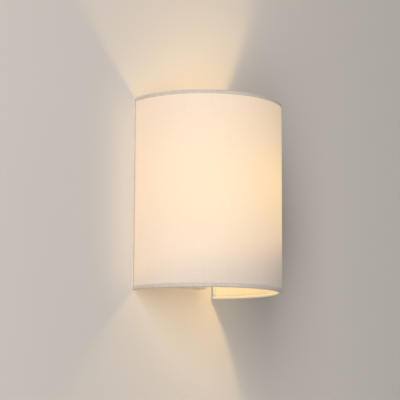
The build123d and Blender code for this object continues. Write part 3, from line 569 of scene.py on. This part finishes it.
# By material slot, and for the thumbscrews, whose rings go round their own axes, by node.
FINISHES: dict[str, Finish] = {
    # The two cottons' second colours are painted shade in the gaps between their threads.
    "shade_fabric": WovenCotton("woven_ivory_cotton", "#D2C7BA", "#C9BDAF", COVER_GLOW),
    "liner_sheet": LinerSheet("translucent_liner_sheet", "#F4E9D2", "#EBDCC0", LINER_GLOW),
    "trim_fabric": WovenCotton("rolled_ivory_cotton", "#E4DBD1", "#D2C7BB", TRIM_LIGHT, relief=0.05 * MM),
    "wire_paint": PowderCoat("powder_coated_wire", "#ECE9E2", "#D9D5CC", peel=0.9 * MM, relief=0.02 * MM),
    "white_paint": PowderCoat("powder_coated_sheet_steel", "#EAE7E0", "#D9D5CC"),
    "zinc_steel": PlatedMetal("bright_zinc_plate", "#C4C8CC", "#A7ADB6"),
    "brass": PlatedMetal("plain_brass", "#CFA862", "#B58D4C", rough=(0.2, 0.36)),
    "nickel_plate": PlatedMetal("satin_nickel_plate", "#CBC6BD", "#B4AEA3", rough=(0.22, 0.36)),
    "block_nylon": Moulded("natural_nylon", "#E6E2D4", "#D3CEBC", Grain.SPARKED),
    "grommet_rubber": Moulded("soft_black_rubber", "#2B2A29", "#1D1C1C", Grain.SPARKED),
    "brown_lead": Moulded("brown_lead_insulation", "#5A3420", "#462817"),
    "blue_lead": Moulded("blue_lead_insulation", "#23509A", "#1B3F7C"),
    "green_lead": StripedInsulation("green_and_yellow_insulation", "#D8C23A", "#4C8C2E"),
    "porcelain": GlazedPorcelain("white_glazed_porcelain", "#EFECE4", "#9A8F80"),
    "opal_glass": OpalDiffuser("lit_opal_diffuser", "#FFF6E4", "#FFD9A0"),
    "white_plastic": Moulded("white_moulded_plastic", "#E9E8E3", "#DAD8D0"),
    "black_plastic": Moulded("black_insulating_compound", "#171616", "#232120", Grain.POLISHED),
    "upper_thumbscrew": TurnedNickel("turned_nickel_upper", "#CFCAC1", "#B5ADA2", (0.0, 0.0, 72 * MM)),
    "lower_thumbscrew": TurnedNickel("turned_nickel_lower", "#CFCAC1", "#B5ADA2", (0.0, 0.0, -72 * MM)),
    "board_white": SolderMask("white_solder_mask", "#EDEEEA", "#D4D6D2"),
    "diode_yellow": Moulded("phosphor_under_resin", "#F0CF5A", "#E3B93C", Grain.POLISHED),
    "potting": Moulded("grey_potting_resin", "#5B5B59", "#474745", Grain.CAST),
}


# ---- meshes from grids


@dataclass
class Grid:
    """A surface worked out as rows and columns of points."""

    points: np.ndarray  # rows by columns by 3, in metres
    flat: np.ndarray | None = None  # rows by columns by 2, the cloth's own flat places in metres
    loop: bool = False  # whether the last column joins the first
    ring: bool = False  # whether the last row joins the first
    capped: bool = False  # whether the first and last rows are closed: loops out one side, back the other

    def faces(self) -> tuple[np.ndarray, np.ndarray]:
        """Numbers the corners of each face.

        A face joins a point to the next in its row and in its column. In a cap, the point so many places from
        a loop's start is joined to the one as many places from its end.

        Returns:
            Corner numbers, faces by 4, as vertices, and the same as places in the unclosed grid.
        """
        rows, columns = self.points.shape[:2]
        down = np.arange(rows if self.ring else rows - 1)
        along = np.arange(columns if self.loop else columns - 1)
        i, j = (a.ravel() for a in np.meshgrid(down, along, indexing="ij"))
        corners = [(i, j), (i + 1, j), (i + 1, j + 1), (i, j + 1)]
        if self.capped:
            k = np.arange(columns // 2 - 1)
            pairs = [k, k + 1, columns - 2 - k, columns - 1 - k]
            for row, order in ((0, pairs), (rows - 1, pairs[::-1])):
                for place, column in enumerate(order):
                    a, b = corners[place]
                    corners[place] = (np.append(a, np.full_like(k, row)), np.append(b, column))
        vertex = np.stack([(a % rows) * columns + b % columns for a, b in corners], -1)
        place = np.stack([a * (columns + 1) + b for a, b in corners], -1)
        return vertex, place

    def unclosed(self) -> np.ndarray:
        """Carries the cloth's flat places one step past the last row and the last column.

        Returns:
            Flat places, rows + 1 by columns + 1 by 2.
        """
        tall = np.concatenate([self.flat, 2 * self.flat[-1:] - self.flat[-2:-1]])
        return np.concatenate([tall, 2 * tall[:, -1:] - tall[:, -2:-1]], axis=1)


def new_object(name: str, data: bpy.types.ID) -> Piece:
    """Makes an object of a mesh, lamp or camera.

    Args:
        name: The object's name.
        data: What it shows.

    Returns:
        The object, linked to the scene.
    """
    made = bpy.data.objects.new(name, data)
    bpy.context.scene.collection.objects.link(made)
    return made


def mesh_piece(name: str, grids: list[Grid], finish: Finish) -> Piece:
    """Makes one object from grids, with its place in its mesh and its faces outwards.

    Args:
        name: The object's name.
        grids: The surfaces, each a shell of its own.
        finish: The finish of all of it.

    Returns:
        The object, shaded smooth.
    """
    points, faces, places = [], [], []
    count = 0
    for grid in grids:
        vertex, place = grid.faces()
        points.append(grid.points.reshape(-1, 3))
        faces.append(vertex + count)
        count += len(points[-1])
        if grid.flat is not None:
            places.append(grid.unclosed().reshape(-1, 2)[place.ravel()])
    mesh = bpy.data.meshes.new(name)
    mesh.from_pydata(np.concatenate(points).tolist(), [], np.concatenate(faces).tolist())
    if places:
        layer = mesh.uv_layers.new(name="UVMap")
        layer.data.foreach_set("uv", np.concatenate(places).astype(np.float32).ravel())
    mesh.polygons.foreach_set("use_smooth", np.full(len(mesh.polygons), True))
    if any(grid.capped or grid.ring for grid in grids):
        solid = bmesh.new()
        solid.from_mesh(mesh)
        bmesh.ops.recalc_face_normals(solid, faces=solid.faces)
        solid.to_mesh(mesh)
        solid.free()
    mesh.materials.append(finish.material())
    return new_object(name, mesh)


def soft_noise(places: np.ndarray, waves: tuple[float, ...], seed: int) -> np.ndarray:
    """A smooth unevenness between about -1 and 1.

    It is the mean of sines of the given wavelengths along the places, each with its own seeded phase and
    with its wavelength off by up to a fifth.

    Args:
        places: Lengths along the cloth in metres, of any shape.
        waves: Wavelengths in metres.
        seed: Seed of the phases.

    Returns:
        The unevenness, of the same shape.
    """
    draw = np.random.default_rng(seed)
    stretch = 1 + 0.2 * (2 * draw.random(len(waves)) - 1)
    phase = tau * draw.random(len(waves))
    turns = places[..., None] / (np.array(waves) * stretch)
    return np.sin(tau * turns + phase).mean(-1)


def ribbon_loop(centre: np.ndarray, thick: float, tip: float) -> tuple[np.ndarray, np.ndarray]:
    """Gives a line a thickness.

    The loop runs half the thickness to one side of the line, then comes back on its other side. Within tip
    of each end the thickness falls off as a quarter circle does, so the edges are round.

    Args:
        centre: Points of the line, n by 2.
        thick: Thickness.
        tip: Length of each rounded end.

    Returns:
        The loop, 2n by 2, and each point's length along the line.
    """
    blunt = 0.12  # share of the thickness left at the very end
    run = np.gradient(centre, axis=0)
    run /= np.linalg.norm(run, axis=1, keepdims=True)
    across = np.stack([run[:, 1], -run[:, 0]], -1)
    length = reach_along(centre)
    from_end = np.clip(np.minimum(length, length[-1] - length) / tip, 0, 1)
    half = thick / 2 * np.maximum(np.sqrt(1 - (1 - from_end) ** 2), blunt)[:, None]
    loop = np.concatenate([centre + across * half, (centre - across * half)[::-1]])
    return loop, np.concatenate([length, length[::-1] + length[-1]])


def reach_along(line: np.ndarray) -> np.ndarray:
    """Gives each point's length along its line, from the sum of the steps before it."""
    return np.append(0, np.cumsum(np.linalg.norm(np.diff(line, axis=0), axis=1)))


def together(*parts: np.ndarray | float) -> np.ndarray:
    """Stretches arrays to one shape, and stacks them as the coordinates of points."""
    return np.stack(np.broadcast_arrays(*parts), -1)


# ---- the shade


@dataclass
class Shade:
    """The shade's cloth, which rides on the body of that name: the woven cover and the rolled edges."""

    body: str = "shade"
    radius: float = 82.5 * MM  # to the outside of the cover
    axis_out: float = 38.0 * MM  # from the wall to the axis that the shade curves about
    height: float = 200.0 * MM  # over the rolled edges
    wall_gap: float = 0.5 * MM  # between the wall and the shade's ends
    cover_thick: float = 0.5 * MM
    cover_waver: float = 0.065 * MM  # the most that the cover stands out unevenly
    edge_thick: float = 0.6 * MM  # thickness of the rolled cloth
    edge_tip: float = 0.25 * MM  # length over which the rolled cloth's own edges are rounded
    edge_tall: float = 4.0 * MM  # how far the rolled cloth reaches down the cover
    edge_tuck: float = 0.9 * MM  # how far it is tucked back past the wire
    pucker: float = 0.08 * MM  # the most that it stands out or in where it is gathered round the wire
    wander: float = 0.1 * MM  # the most that its lower edge moves up or down
    bend: float = 1.0 * MM  # radius of its bend over the sheets' edges
    glue: float = 0.05 * MM  # thickness of each glue line
    wire_circle: float = 79.6 * MM  # radius of the ring wires' circle
    wire: float = 1.25 * MM  # radius of a wire
    strap_z: float = 72.0 * MM  # height of the straps above and below the middle
    strap_half: float = 6.1 * MM  # half of a strap's height, with its play

    @property
    def edge_out(self) -> float:
        """Radius to the outside of the rolled cloth."""
        return self.radius + self.glue + self.edge_thick

    @property
    def end(self) -> float:
        """Angle from the front to the shade's ends, where the rolled cloth stops short of the wall."""
        return pi - acos((self.axis_out - self.wall_gap) / self.edge_out)

    @property
    def hem(self) -> float:
        """How far the sheets stop short of the outside of the rolled cloth."""
        return self.edge_thick + self.glue

    def place(self, radius: np.ndarray, angle: np.ndarray, up: np.ndarray) -> np.ndarray:
        """Turns radius, angle from the front and height into points about the shade's axis."""
        return together(radius * np.sin(angle), -self.axis_out - radius * np.cos(angle), up)

    def cover(self) -> Piece:
        """Builds the woven sheet.

        It is a part of a cylinder, radius by angle by height. Between its edges it lies uneven by up to a
        fifteenth of a millimetre, outwards only: the product of soft noise along and up the sheet.

        Returns:
            The sheet.
        """
        middle = self.radius - self.cover_thick / 2
        last = self.end - self.hem / self.radius
        top = self.height / 2 - self.hem
        along = np.linspace(-last, last, 181)[:, None]
        up = np.linspace(-top, top, 121)[None, :]
        fade = np.clip((1 - (along / last) ** 8) * (1 - (up / top) ** 8), 0, 1)
        wave = soft_noise(along * middle, (0.09, 0.041, 0.023), 3)
        wave = wave * soft_noise(up + 0 * along, (0.11, 0.05, 0.03), 5)
        radius = middle + self.cover_waver * fade * (0.5 + 0.5 * wave)
        grid = Grid(self.place(radius, along, up), together(along * middle, up))
        sheet = mesh_piece("woven_cover", [grid], FINISHES["shade_fabric"])
        wall = sheet.modifiers.new("thickness", "SOLIDIFY")
        wall.thickness = self.cover_thick
        wall.offset = 0.0
        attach(sheet, self.body)
        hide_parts("shade_cover")
        return sheet

    def roll(self, closed: bool = True) -> np.ndarray:
        """Draws the rolled cloth's middle line in section, as radius and depth below the edge.

        From its lower edge it goes straight up the cover, round a quarter circle on to the sheets' edges,
        across them, and half a circle round the wire back to the liner.

        Args:
            closed: Whether it goes all the way round the wire. Where a strap passes it stops before.

        Returns:
            Points of the line, n by 2.
        """
        half, bend = self.edge_thick / 2, self.bend
        outer = self.edge_out - half
        round_wire = self.wire + self.glue + half
        depth = self.hem + self.wire
        quarter = np.linspace(0, pi / 2, 9)
        turn = np.linspace(0, pi, 21) if closed else np.linspace(0, radians(24), 6)
        parts = [
            together(outer, np.linspace(self.edge_tall, half + bend, 9))[:-1],
            together(outer - bend + bend * np.cos(quarter), half + bend - bend * np.sin(quarter)),
            together(self.wire_circle - round_wire * np.sin(turn), depth - round_wire * np.cos(turn)),
        ]
        if closed:
            tuck = np.linspace(self.wire_circle, self.wire_circle + self.edge_tuck, 5)[1:]
            parts.append(together(tuck, depth + round_wire))
        return np.concatenate(parts)

    def section(self, closed: bool = True) -> tuple[np.ndarray, np.ndarray]:
        """Gives the rolled cloth's section: its loop as radius and depth, and the lengths along it."""
        return ribbon_loop(self.roll(closed), self.edge_thick, self.edge_tip)

    def gathered(self, loop: np.ndarray, length: np.ndarray, along: np.ndarray, seed: int) -> np.ndarray:
        """Puckers a rolled edge.

        Each point of the section moves by up to a twelfth of a millimetre, most on the part round the wire,
        by soft noise along the edge. The cloth's lower edge wanders by up to a tenth.

        Args:
            loop: The section, m by 2, as radius and depth.
            length: Each point's length along the section.
            along: Lengths along the edge.
            seed: Seed of the noise.

        Returns:
            Sections along the edge, n by m by 2.
        """
        inner = np.clip((self.edge_out - loop[:, 0]) / (5 * MM), 0, 1)
        folds = soft_noise(along[:, None] + 0.3 * length, (7 * MM, 3.4 * MM, 13 * MM), seed)
        lower = np.clip((loop[:, 1] - 0.7 * self.edge_tall) / (0.3 * self.edge_tall), 0, 1)
        drift = soft_noise(along, (17 * MM, 6 * MM), seed + 1)[:, None]
        radial = loop[:, 0] + np.maximum(self.pucker * inner * folds, -self.glue)
        return together(radial, loop[:, 1] - np.abs(self.wander * lower * (1 - inner) * drift))

    def level_edge(self, node: str, side: int) -> Piece:
        """Builds the rolled edge at the top or bottom, with folded corners at its ends.

        The section is carried round the shade's axis from end to end. At each end a folded corner fills it:
        the section's outline, carried on for the cloth's thickness and drawn in at last.

        Args:
            node: The CAD node that it replaces.
            side: 1 at the top, -1 at the bottom.

        Returns:
            The edge.
        """
        loop, length = self.section()
        fold = self.edge_thick / self.radius
        angle = np.linspace(-self.end + fold, self.end - fold, 401)[:, None]
        shape = self.gathered(loop, length, angle[:, 0] * self.radius, 11 + side)
        points = self.place(shape[..., 0], angle, side * (self.height / 2 - shape[..., 1]))
        grids = [Grid(points, together(angle * self.radius, length), loop=True, capped=True)]
        outline = self.corner_outline()
        heart = outline.mean(0)
        steps, sizes = np.array([0.0, 0.7, 0.93, 1.0]), np.array([1.0, 1.0, 0.97, 0.9])
        drawn = heart + (outline - heart) * sizes[:, None, None]
        for hand in (-1, 1):
            turn = hand * (self.end - fold + fold * steps)[:, None]
            corner = self.place(drawn[..., 0], turn, side * (self.height / 2 - drawn[..., 1]))
            cloth = together(turn * self.radius, reach_along(outline))
            grids.append(Grid(corner, cloth, loop=True, capped=True))
        return self.edge(node, grids)

    def corner_outline(self) -> np.ndarray:
        """Draws a folded corner's outline in section: the outside of the rolled cloth, closed underneath.

        Returns:
            Points of the outline, an even number by 2, out one side and back the other.
        """
        loop, _ = self.section()
        outer = loop[len(loop) // 2 :][::-1]
        return np.concatenate([outer, np.linspace(outer[-1], outer[0], 9)[1:-2]])

    def upright_edge(self, node: str, hand: int) -> Piece:
        """Builds the rolled edge at the right or left end, open where the straps pass to their rod.

        The section, with its depth laid along the arc, is carried straight up. It is made in five stretches,
        and the two at the straps stop before they reach them.

        Args:
            node: The CAD node that it replaces.
            hand: 1 at the right, -1 at the left.

        Returns:
            The edge.
        """
        reach = self.height / 2 - self.edge_tall - self.glue
        low, high = self.strap_z - self.strap_half, self.strap_z + self.strap_half
        stops = (-reach, -high, -low, low, high, reach)
        grids = []
        for start, stop, whole in zip(stops, stops[1:], (True, False, True, False, True)):
            loop, length = self.section(whole)
            up = np.linspace(start, stop, max(9, int((stop - start) / (0.8 * MM))))
            shape = self.gathered(loop, length, up, 23 + hand)
            angle = hand * (self.end - shape[..., 1] / shape[..., 0])
            points = self.place(shape[..., 0], angle, up[:, None])
            grids.append(Grid(points, together(up[:, None], length), loop=True, capped=True))
        return self.edge(node, grids)

    def edge(self, node: str, grids: list[Grid]) -> Piece:
        """Makes a rolled edge's piece, and ties it to the shade and to the node that it stands for.

        Args:
            node: The CAD node.
            grids: The edge's surfaces.

        Returns:
            The edge.
        """
        piece = mesh_piece(node.replace("trim", "rolled_edge"), grids, FINISHES["trim_fabric"])
        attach(piece, self.body)
        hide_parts(node)
        return piece

    def build(self) -> list[Piece]:
        """Builds all the cloth.

        Returns:
            The pieces.
        """
        pieces = [self.cover()]
        pieces += [self.level_edge("top_trim", 1), self.level_edge("bottom_trim", -1)]
        return pieces + [self.upright_edge("right_trim", 1), self.upright_edge("left_trim", -1)]


# ---- the lamp's screw


@dataclass
class LampScrew:
    """The lamp's cap and the lampholder's shell, with the same right-hand screw thread."""

    axis_out: float = 54.0 * MM  # from the wall to the lamp's axis
    pitch: float = 3.629 * MM
    root: float = 12.5 * MM  # radius of the cap between its ridges
    ridge: float = 0.7 * MM  # how far the ridges stand out
    wall: float = 0.45 * MM  # thickness of either shell
    play: float = 0.2 * MM  # between the cap and the shell
    cap_ends: Size = (-22.0 * MM, 0.0)  # heights
    shell_ends: Size = (-28.0 * MM, -7.0 * MM)
    run_outs: Size = (2.5 * MM, 1.5 * MM)  # over which the ridges fade at the cap's and the shell's ends

    def thread(self, ends: Size, root: float, run_out: float, grow: float) -> Grid:
        """Works out a threaded shell.

        Its radius is the root's plus a ridge: a raised cosine of the height less the pitch times the turn,
        which fades within run_out of each end. The wall is the same surface again, further out or in.

        Args:
            ends: Heights of the lower and upper end.
            root: Radius between the ridges.
            run_out: Length over which the ridges fade at each end.
            grow: The wall's thickness, negative inwards.

        Returns:
            The shell, closed round and over both ends.
        """
        turn = np.linspace(0, tau, 96, endpoint=False)[:, None]
        up = np.linspace(*ends, 121)
        fade = np.clip(np.minimum(up - ends[0], ends[1] - up) / run_out, 0, 1)
        fade = fade * fade * (3 - 2 * fade)
        wave = 0.5 - 0.5 * np.cos(tau * (up[None, :] / self.pitch - turn / tau))
        front = root + self.ridge * fade * wave
        radius = np.concatenate([front, (front + grow)[:, ::-1]], axis=1)
        height = np.append(up, up[::-1])
        x, y = radius * np.cos(turn), -self.axis_out + radius * np.sin(turn)
        return Grid(together(x, y, height), loop=True, ring=True)

    def build(self) -> list[Piece]:
        """Builds the cap and the shell.

        Returns:
            The two pieces.
        """
        grid = self.thread(self.cap_ends, self.root, self.run_outs[0], -self.wall)
        cap = mesh_piece("threaded_cap", [grid], FINISHES["nickel_plate"])
        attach(cap, "bulb")
        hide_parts("bulb_cap")
        grid = self.thread(self.shell_ends, self.root + self.play, self.run_outs[1], self.wall)
        shell = mesh_piece("threaded_shell", [grid], FINISHES["brass"])
        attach(shell, "wall_unit")
        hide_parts("lampholder_shell")
        return [cap, shell]


# ---- CAD nodes


def dress_nodes() -> int:
    """Gives every CAD node that is shown as it is the finish of its material slot, or its own.

    Returns:
        How many nodes were dressed.
    """
    for part in frame["record"]["subparts"]:
        finish = FINISHES.get(part["node"], FINISHES[part["material_slot"]])
        mesh = frame["nodes"][part["node"]].data
        mesh.materials.clear()
        mesh.materials.append(finish.material())
    return len(frame["record"]["subparts"])


# ---- the studio


@dataclass
class Studio:
    """The wall, the floor, the lamps and the camera."""

    wall_tint: str = "#DAD4CE"
    floor_tint: str = "#E4E0DA"
    air: str = "#F8F7F5"  # colour of the open air behind everything
    fill: float = 0.13  # strength of the light from all round
    wall_back: float = 0.4 * MM  # from the light's back to the wall's face
    room: tuple[float, ...] = (5.0, 3.0, 6.0)  # half its width, its height above the light, its depth
    floor_z: float = -1.7  # height of the floor
    floor_lift: float = 0.8  # share of its plain colour that it shows to the eye, whatever light reaches it
    shading_nodes: tuple[str, ...] = ("shade_liner", "right_rod", "left_rod", "top_ring", "bottom_ring")

    def one_way(self, name: str, tint: str, grain: float, lift: float = 0.0) -> bpy.types.Material:
        """Makes a painted surface that is seen only from its front, and that stops no lamp behind it.

        Args:
            name: The material's name.
            tint: The paint's colour.
            grain: Width of the plaster's grain.
            lift: Share of its plain colour that it shows to the eye, whatever light reaches it.

        Returns:
            The material.
        """
        paint = bpy.data.materials.new(name)
        add = empty_tree(paint)
        here = add("TexCoord", out="Object")
        plaster = add("TexNoise", {"Vector": here, "Scale": 1 / grain, "Detail": 3.0})
        bump = add("Bump", {"Height": plaster, "Distance": 0.05 * MM, "Strength": 0.5})
        matt = add("BsdfDiffuse", {"Color": linear(tint), "Roughness": 1.0, "Normal": bump})
        shown = add("Math", [add("LightPath", out="Is Camera Ray"), lift], operation="MULTIPLY")
        front = add("MixShader", [shown, matt, add("Emission", {"Color": linear(tint)})])
        ways = [add("NewGeometry", out="Backfacing"), add("LightPath", out="Is Shadow Ray")]
        open_to = add("Math", ways, operation="MAXIMUM")
        add("OutputMaterial", {"Surface": add("MixShader", [open_to, front, add("BsdfTransparent")])})
        return paint

    def plane(self, name: str, corners: list[Point], material: bpy.types.Material) -> None:
        """Makes a flat sheet of the stage.

        Args:
            name: The sheet's name.
            corners: Its four corners, so that it faces the room.
            material: Its material.
        """
        mesh = bpy.data.meshes.new(name)
        mesh.from_pydata(corners, [], [(0, 1, 2, 3)])
        mesh.materials.append(material)
        new_object(name, mesh)

    def set_stage(self) -> None:
        """Stands the wall just behind the light's back, and lays the floor far below it."""
        half, top, deep = self.room
        back, low = self.wall_back, self.floor_z
        wall = [(-half, back, low), (half, back, low), (half, back, top), (-half, back, top)]
        self.plane("stage_wall", wall, self.one_way("matt_wall_paint", self.wall_tint, 1.5 * MM))
        floor = [(-half, back, low), (-half, -deep, low), (half, -deep, low), (half, back, low)]
        paint = self.one_way("matt_floor_paint", self.floor_tint, 6 * MM, self.floor_lift)
        self.plane("stage_floor", floor, paint)

    def set_air(self) -> None:
        """Fills the world with plain light, and shows it pale to the eye and in gloss and glass."""
        world = bpy.data.worlds.new("plain_air")
        add = empty_tree(world)
        rays = [add("LightPath", out=f"Is {kind} Ray") for kind in ("Camera", "Glossy", "Transmission")]
        seen = add("Math", rays[:2], operation="MAXIMUM")
        shown = add("Math", [seen, rays[2]], operation="MAXIMUM")
        strength = add("Mix", {0: shown, 2: self.fill, 3: 1.0}, data_type="FLOAT")
        air = {"Color": linear(self.air), "Strength": strength}
        add("OutputWorld", {"Surface": add("Background", air)})
        bpy.context.scene.world = world

    def soft_box(
        self, name: str, place: Point, target: Point, size: Size, watts: float, tint: str = "#FFFFFF"
    ) -> Piece:
        """Hangs a soft lamp that the camera doesn't see.

        Args:
            name: The lamp's name.
            place: Its centre.
            target: The point that it looks at.
            size: How wide and how tall it is.
            watts: Its power.
            tint: Its colour.

        Returns:
            The lamp.
        """
        data = bpy.data.lights.new(name, "AREA")
        data.shape = "RECTANGLE"
        data.size, data.size_y = size
        data.energy = watts
        data.color = linear(tint)[:3]
        box = new_object(name, data)
        box.location = place
        box.rotation_euler = (Vector(target) - Vector(place)).to_track_quat("-Z", "Y").to_euler()
        box.visible_camera = False
        return box

    def wall_lamp(
        self, name: str, place: Point, radius: float, watts: float, tint: str, shading: list[Piece]
    ) -> None:
        """Puts a round lamp inside the shade. It lights the wall alone, and fades evenly with distance.

        Args:
            name: The lamp's name, and with shading_ before it, that of the collection of what shades it.
            place: Its centre.
            radius: Its radius.
            watts: Its power.
            tint: Its colour.
            shading: What throws its shadows.
        """
        data = bpy.data.lights.new(name, "POINT")
        data.energy = watts
        data.shadow_soft_size = radius
        data.color = linear(tint)[:3]
        add = empty_tree(data)
        fall = add("LightFalloff", {"Strength": 1.0}, "Linear")
        add("OutputLight", {"Surface": add("Emission", {"Strength": fall})})
        lamp = new_object(name, data)
        lamp.location = place
        lamp.visible_camera = False
        shades = bpy.data.collections.new("shading_" + name)
        for piece in shading:
            shades.objects.link(piece)
        lamp.light_linking.blocker_collection = shades
        lamp.light_linking.receiver_collection = bpy.data.collections["wall_alone"]

    def light_wall(self, casters: list[Piece], glowing: list[Piece]) -> None:
        """Lights the wall round the shade as the lamp inside does.

        A small lamp stands for the light straight out of the open top and bottom, which throws the rims'
        edges on the wall, and a large one for the light off the shade's inside, which the wall plate shades
        softly. Two strips stand for the light beside the shade's ends. These light the wall alone, and so
        the glowing pieces leave it alone.

        Args:
            casters: What throws shadows of the lamp's light.
            glowing: The pieces that shine of themselves.
        """
        wall = bpy.data.objects["stage_wall"]
        wall_alone = bpy.data.collections.new("wall_alone")
        wall_alone.objects.link(wall)
        plate = frame["nodes"]["back_plate"]
        self.wall_lamp("lamp_on_wall", (0.022, -0.098, 0.004), 12 * MM, 3.3, "#FFD684", casters)
        self.wall_lamp("bounce_on_wall", (0.018, -0.075, 0.004), 40 * MM, 1.8, "#FFEBCB", [*casters, plate])
        for name, x in (("glow_at_left_end", -0.092), ("glow_at_right_end", 0.092)):
            target, size = (x, 0.0, 0.0), (0.02, 0.2)
            strip = self.soft_box(name, (x, -0.04, 0.0), target, size, watts=0.0146, tint="#FFDDA6")
            strip.visible_shadow = False
            strip.visible_glossy = False
            strip.light_linking.receiver_collection = wall_alone
        others = bpy.data.collections.new("all_but_wall")
        others.objects.link(wall)
        others.collection_objects[0].light_linking.link_state = "EXCLUDE"
        for piece in glowing:
            piece.light_linking.receiver_collection = others

    def set_lamps(self) -> None:
        """Lights the room softly from a tall lamp at the left, a little from the right, and from behind."""
        self.soft_box("key", (-1.8, -1.1, 0.1), (0.0, -0.04, 0.1), (0.6, 2.2), watts=32.6)
        self.soft_box("fill", (1.3, -0.5, 0.8), (0.0, -0.04, 0.0), (0.8, 0.8), watts=4.2)
        self.soft_box("rear", (0.6, 1.8, 0.8), (0.0, -0.02, 0.0), (1.4, 1.4), watts=22.0, tint="#FFFDFA")

    def set_camera(self) -> None:
        """Stands the camera below and to the left of the light, looking up at it a little."""
        place = Vector((-1.23217, -0.87602, -0.22060))
        ahead = Vector((0.81653, 0.55860, 0.14576)).normalized()
        up = Vector((-0.12268, -0.07882, 0.98931))
        right = ahead.cross(up).normalized()
        up = right.cross(ahead)
        data = bpy.data.cameras.new("camera")
        data.sensor_width = 36.0
        data.lens = 127.97
        data.clip_start, data.clip_end = 0.05, 30.0
        camera = new_object("camera", data)
        camera.matrix_world = Matrix.Translation(place) @ Matrix((right, up, -ahead)).transposed().to_4x4()
        bpy.context.scene.camera = camera

    def build(self) -> None:
        """Sets camera, stage, air and lamps."""
        self.set_camera()
        self.set_stage()
        self.set_air()
        self.set_lamps()
        bpy.context.scene.view_settings.view_transform = "Standard"


def main() -> None:
    """Builds the studio and the wall light, in order, and reports each piece."""
    logging.basicConfig(level=logging.INFO, format="%(name)s: %(message)s")
    studio = Studio()
    studio.build()
    LOG.info("dressed %d CAD nodes", dress_nodes())
    shade = Shade().build()
    for piece in shade + LampScrew().build():
        LOG.info("%s: %d faces", piece.name, len(piece.data.polygons))
    nodes = frame["nodes"]
    casters = shade + [nodes[name] for name in studio.shading_nodes]
    studio.light_wall(casters, [shade[0], nodes["shade_liner"], nodes["bulb_globe"]])


if __name__ == "__main__":
    main()
